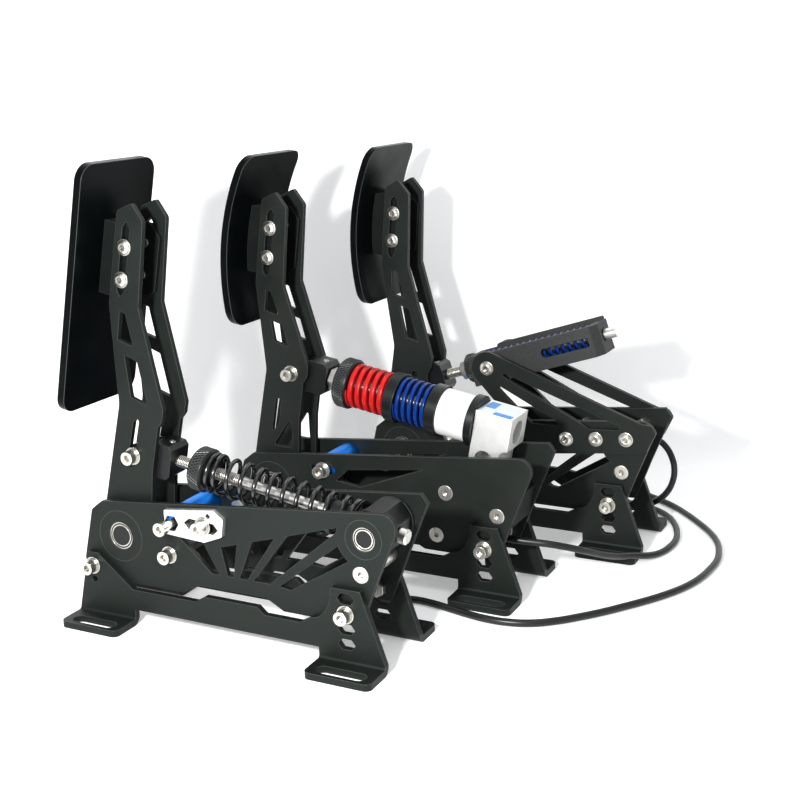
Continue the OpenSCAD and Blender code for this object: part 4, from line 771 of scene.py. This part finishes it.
def cell_label():
    """Film on the load cell's top."""
    width, margin, thickness, edge, aside = 28 * MM, 4 * MM, 0.24 * MM, 0.05 * MM, 1.5 * MM
    first, last, _, _ = on_rod("brake_load_cell", "brake")
    along = along_rod("brake")
    upward = along.cross(ACROSS)
    upward = upward if upward.z > 0 else -upward
    start = RODS["brake"].translation
    top = max((v.co - start).dot(upward) for v in nodes["brake_load_cell"].data.vertices)
    middle = start + along * (first + last) / 2 + upward * top + ACROSS * aside
    turn = Matrix((ACROSS, along, upward)).transposed().to_4x4()
    size = Matrix.Diagonal((width, last - first - margin, thickness, 1))
    whole = bmesh.new()
    bmesh.ops.create_cube(whole, size=1)
    bmesh.ops.transform(whole, verts=whole.verts, matrix=Matrix.Translation(middle) @ turn @ size)
    bmesh.ops.bevel(whole, geom=whole.edges[:], offset=edge, segments=1, affect="EDGES")
    film = label_film(along, start.x, start.dot(along) + first)
    finish_piece("cell_label", whole, "base", "white_plastic", film)


rod_threads()
turned_pieces()
for pedal in PEDALS:
    grub_screw(pedal)
clutch_lock_nut()
bearing_seals()
cell_label()


# Leads and their plugs

def plug(pedal, end, way):
    """A moulded plug on the floor at the end of a lead."""
    whole = bmesh.new()
    for first, last, half, high, bevel in PLUG_BLOCKS:
        block = bmesh.new()
        bmesh.ops.create_cube(block, size=1)
        size = Matrix.Diagonal(((last - first) * MM, 2 * half * MM, high * MM, 1))
        place = Matrix.Translation(((first + last) / 2 * MM, 0, high / 2 * MM))
        bmesh.ops.transform(block, verts=block.verts, matrix=place @ size)
        bmesh.ops.bevel(block, geom=block.edges[:], offset=bevel * MM, segments=3, profile=0.5,
                        affect="EDGES")
        mesh = bpy.data.meshes.new("block")
        block.to_mesh(mesh)
        whole.from_mesh(mesh)
        block.free()
        bpy.data.meshes.remove(mesh)
    turn = Matrix.Translation((end.x, end.y, 0)) @ Matrix.Rotation(math.atan2(way.y, way.x), 4, "Z")
    bmesh.ops.transform(whole, verts=whole.verts, matrix=turn)
    piece = finish_piece(f"{pedal}_plug", whole, "base", "black_plastic")
    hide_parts("lead_plugs")
    return piece


def lead(pedal):
    """A round cord along a smooth curve, whose end is inside the plug."""
    route = [Vector(p) * MM for p in LEAD_ROUTES[pedal]]
    way = route[-1] - route[-2]
    end_piece = plug(pedal, route[-1], way)
    route.append(route[-1] + way.normalized() * LEAD_INSIDE_PLUG * MM)
    curve = bpy.data.curves.new(f"{pedal}_lead_cord", "CURVE")
    curve.dimensions = "3D"
    curve.bevel_depth = LEAD_DIAMETER / 2 * MM
    curve.bevel_resolution = 4
    curve.resolution_u = 8
    curve.use_fill_caps = True
    spline = curve.splines.new("BEZIER")
    spline.bezier_points.add(len(route) - 1)
    for point, place in zip(spline.bezier_points, route):
        point.co = place
        point.handle_left_type = point.handle_right_type = "AUTO"
    curve.materials.append(FINISHES["lead_jacket"])
    piece = add_piece(f"{pedal}_lead_cord", curve, "base")
    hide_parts(f"{pedal}_lead")


for pedal in PEDALS:
    lead(pedal)


# Studio: a pale sweep, soft lamps and the photograph's camera

def seen_directly(graph):
    """1 for rays from the camera, and for those that a shiny or clear surface passes on."""
    rays = graph.add("ShaderNodeLightPath").outputs
    passed_on = graph.math("MAXIMUM", rays["Is Glossy Ray"], rays["Is Transmission Ray"])
    return graph.math("MAXIMUM", rays["Is Camera Ray"], passed_on)


def sweep_paper():
    """Pale paper that glows a little where it is seen, and is clear from its back."""
    material, graph, shader, _ = finish("pale_paper", (0.86, 0.86, 0.86), roughness=0.7)
    paper = shader.outputs[0]
    seen = seen_directly(graph)
    glow = graph.add("ShaderNodeEmission", {"Color": (1, 1, 1, 1), "Strength": SWEEP_GLOW}).outputs[0]
    lit = graph.add("ShaderNodeAddShader", {0: paper, 1: glow}).outputs[0]
    front = graph.add("ShaderNodeMixShader", {0: seen, 1: paper, 2: lit}).outputs[0]
    behind = graph.add("ShaderNodeNewGeometry").outputs["Backfacing"]
    clear = graph.add("ShaderNodeBsdfTransparent").outputs[0]
    both = graph.add("ShaderNodeMixShader", {0: behind, 1: front, 2: clear}).outputs[0]
    output = next(n for n in graph.tree.nodes if n.type == "OUTPUT_MATERIAL")
    graph.link(both, output.inputs["Surface"])
    return material


def sweep():
    """Floor that curves up into a wall close behind the pedals, and goes on behind it."""
    bend_start = WALL_AT + BEND
    profile = [(SWEEP_HALF, 0.0), (bend_start, 0.0)]
    for i in range(1, BEND_STEPS + 1):
        angle = math.radians(90 / BEND_STEPS * i)
        profile.append((bend_start - BEND * math.sin(angle), BEND - BEND * math.cos(angle)))
    profile.append((WALL_AT, WALL_TOP))
    strips = [(i, i + 1) for i in range(len(profile) - 1)]
    strips.append((1, len(profile)))
    profile.append((-SWEEP_HALF, 0.0))
    corners = [(x, y, z) for x, z in profile for y in (-SWEEP_HALF, SWEEP_HALF)]
    faces = [(2 * a, 2 * a + 1, 2 * b + 1, 2 * b) for a, b in strips]
    mesh = bpy.data.meshes.new("sweep")
    mesh.from_pydata(corners, [], faces)
    mesh.transform(Matrix.Rotation(math.radians(SWEEP_TURN), 4, "Z"))
    mesh.polygons.foreach_set("use_smooth", [True] * len(mesh.polygons))
    mesh.materials.append(sweep_paper())
    piece = bpy.data.objects.new("sweep", mesh)
    bpy.context.scene.collection.objects.link(piece)


def lamp(name, place, target, size, power):
    light = bpy.data.lights.new(name, "AREA")
    light.shape = "DISK"
    light.size = size
    light.energy = power
    piece = bpy.data.objects.new(name, light)
    piece.location = place
    piece.rotation_euler = (Vector(target) - Vector(place)).to_track_quat("-Z", "Y").to_euler()
    bpy.context.scene.collection.objects.link(piece)


def studio():
    sweep()
    world = bpy.data.worlds.new("studio")
    world.use_nodes = True
    ground = next(n for n in world.node_tree.nodes if n.type == "BACKGROUND")
    ground.inputs["Color"].default_value = WORLD_COLOUR
    ground.inputs["Strength"].default_value = WORLD_STRENGTH
    bpy.context.scene.world = world
    for settings in LAMPS:
        lamp(*settings)


def photo_camera():
    yaw, pitch, roll = (math.radians(a) for a in (CAMERA_YAW, CAMERA_PITCH, CAMERA_ROLL))
    ahead = Vector((-math.sin(yaw) * math.cos(pitch), math.cos(yaw) * math.cos(pitch), -math.sin(pitch)))
    level = ahead.cross(Vector((0, 0, 1))).normalized()
    upright = level.cross(ahead)
    right = math.cos(roll) * level + math.sin(roll) * upright
    up = -math.sin(roll) * level + math.cos(roll) * upright
    data = bpy.data.cameras.new("photo")
    data.sensor_fit = "HORIZONTAL"
    data.sensor_width = 36
    data.lens = FOCAL_PIXELS / FRAME_PIXELS * data.sensor_width
    data.shift_x = (FRAME_PIXELS / 2 - AXIS_PIXEL[0]) / FRAME_PIXELS
    data.shift_y = (AXIS_PIXEL[1] - FRAME_PIXELS / 2) / FRAME_PIXELS
    camera = bpy.data.objects.new("photo", data)
    turn = Matrix((right, up, -ahead)).transposed().to_4x4()
    camera.matrix_world = Matrix.Translation(CAMERA_PLACE) @ turn
    bpy.context.scene.collection.objects.link(camera)
    bpy.context.scene.camera = camera


studio()
photo_camera()
bpy.context.scene.view_settings.view_transform = "Standard"
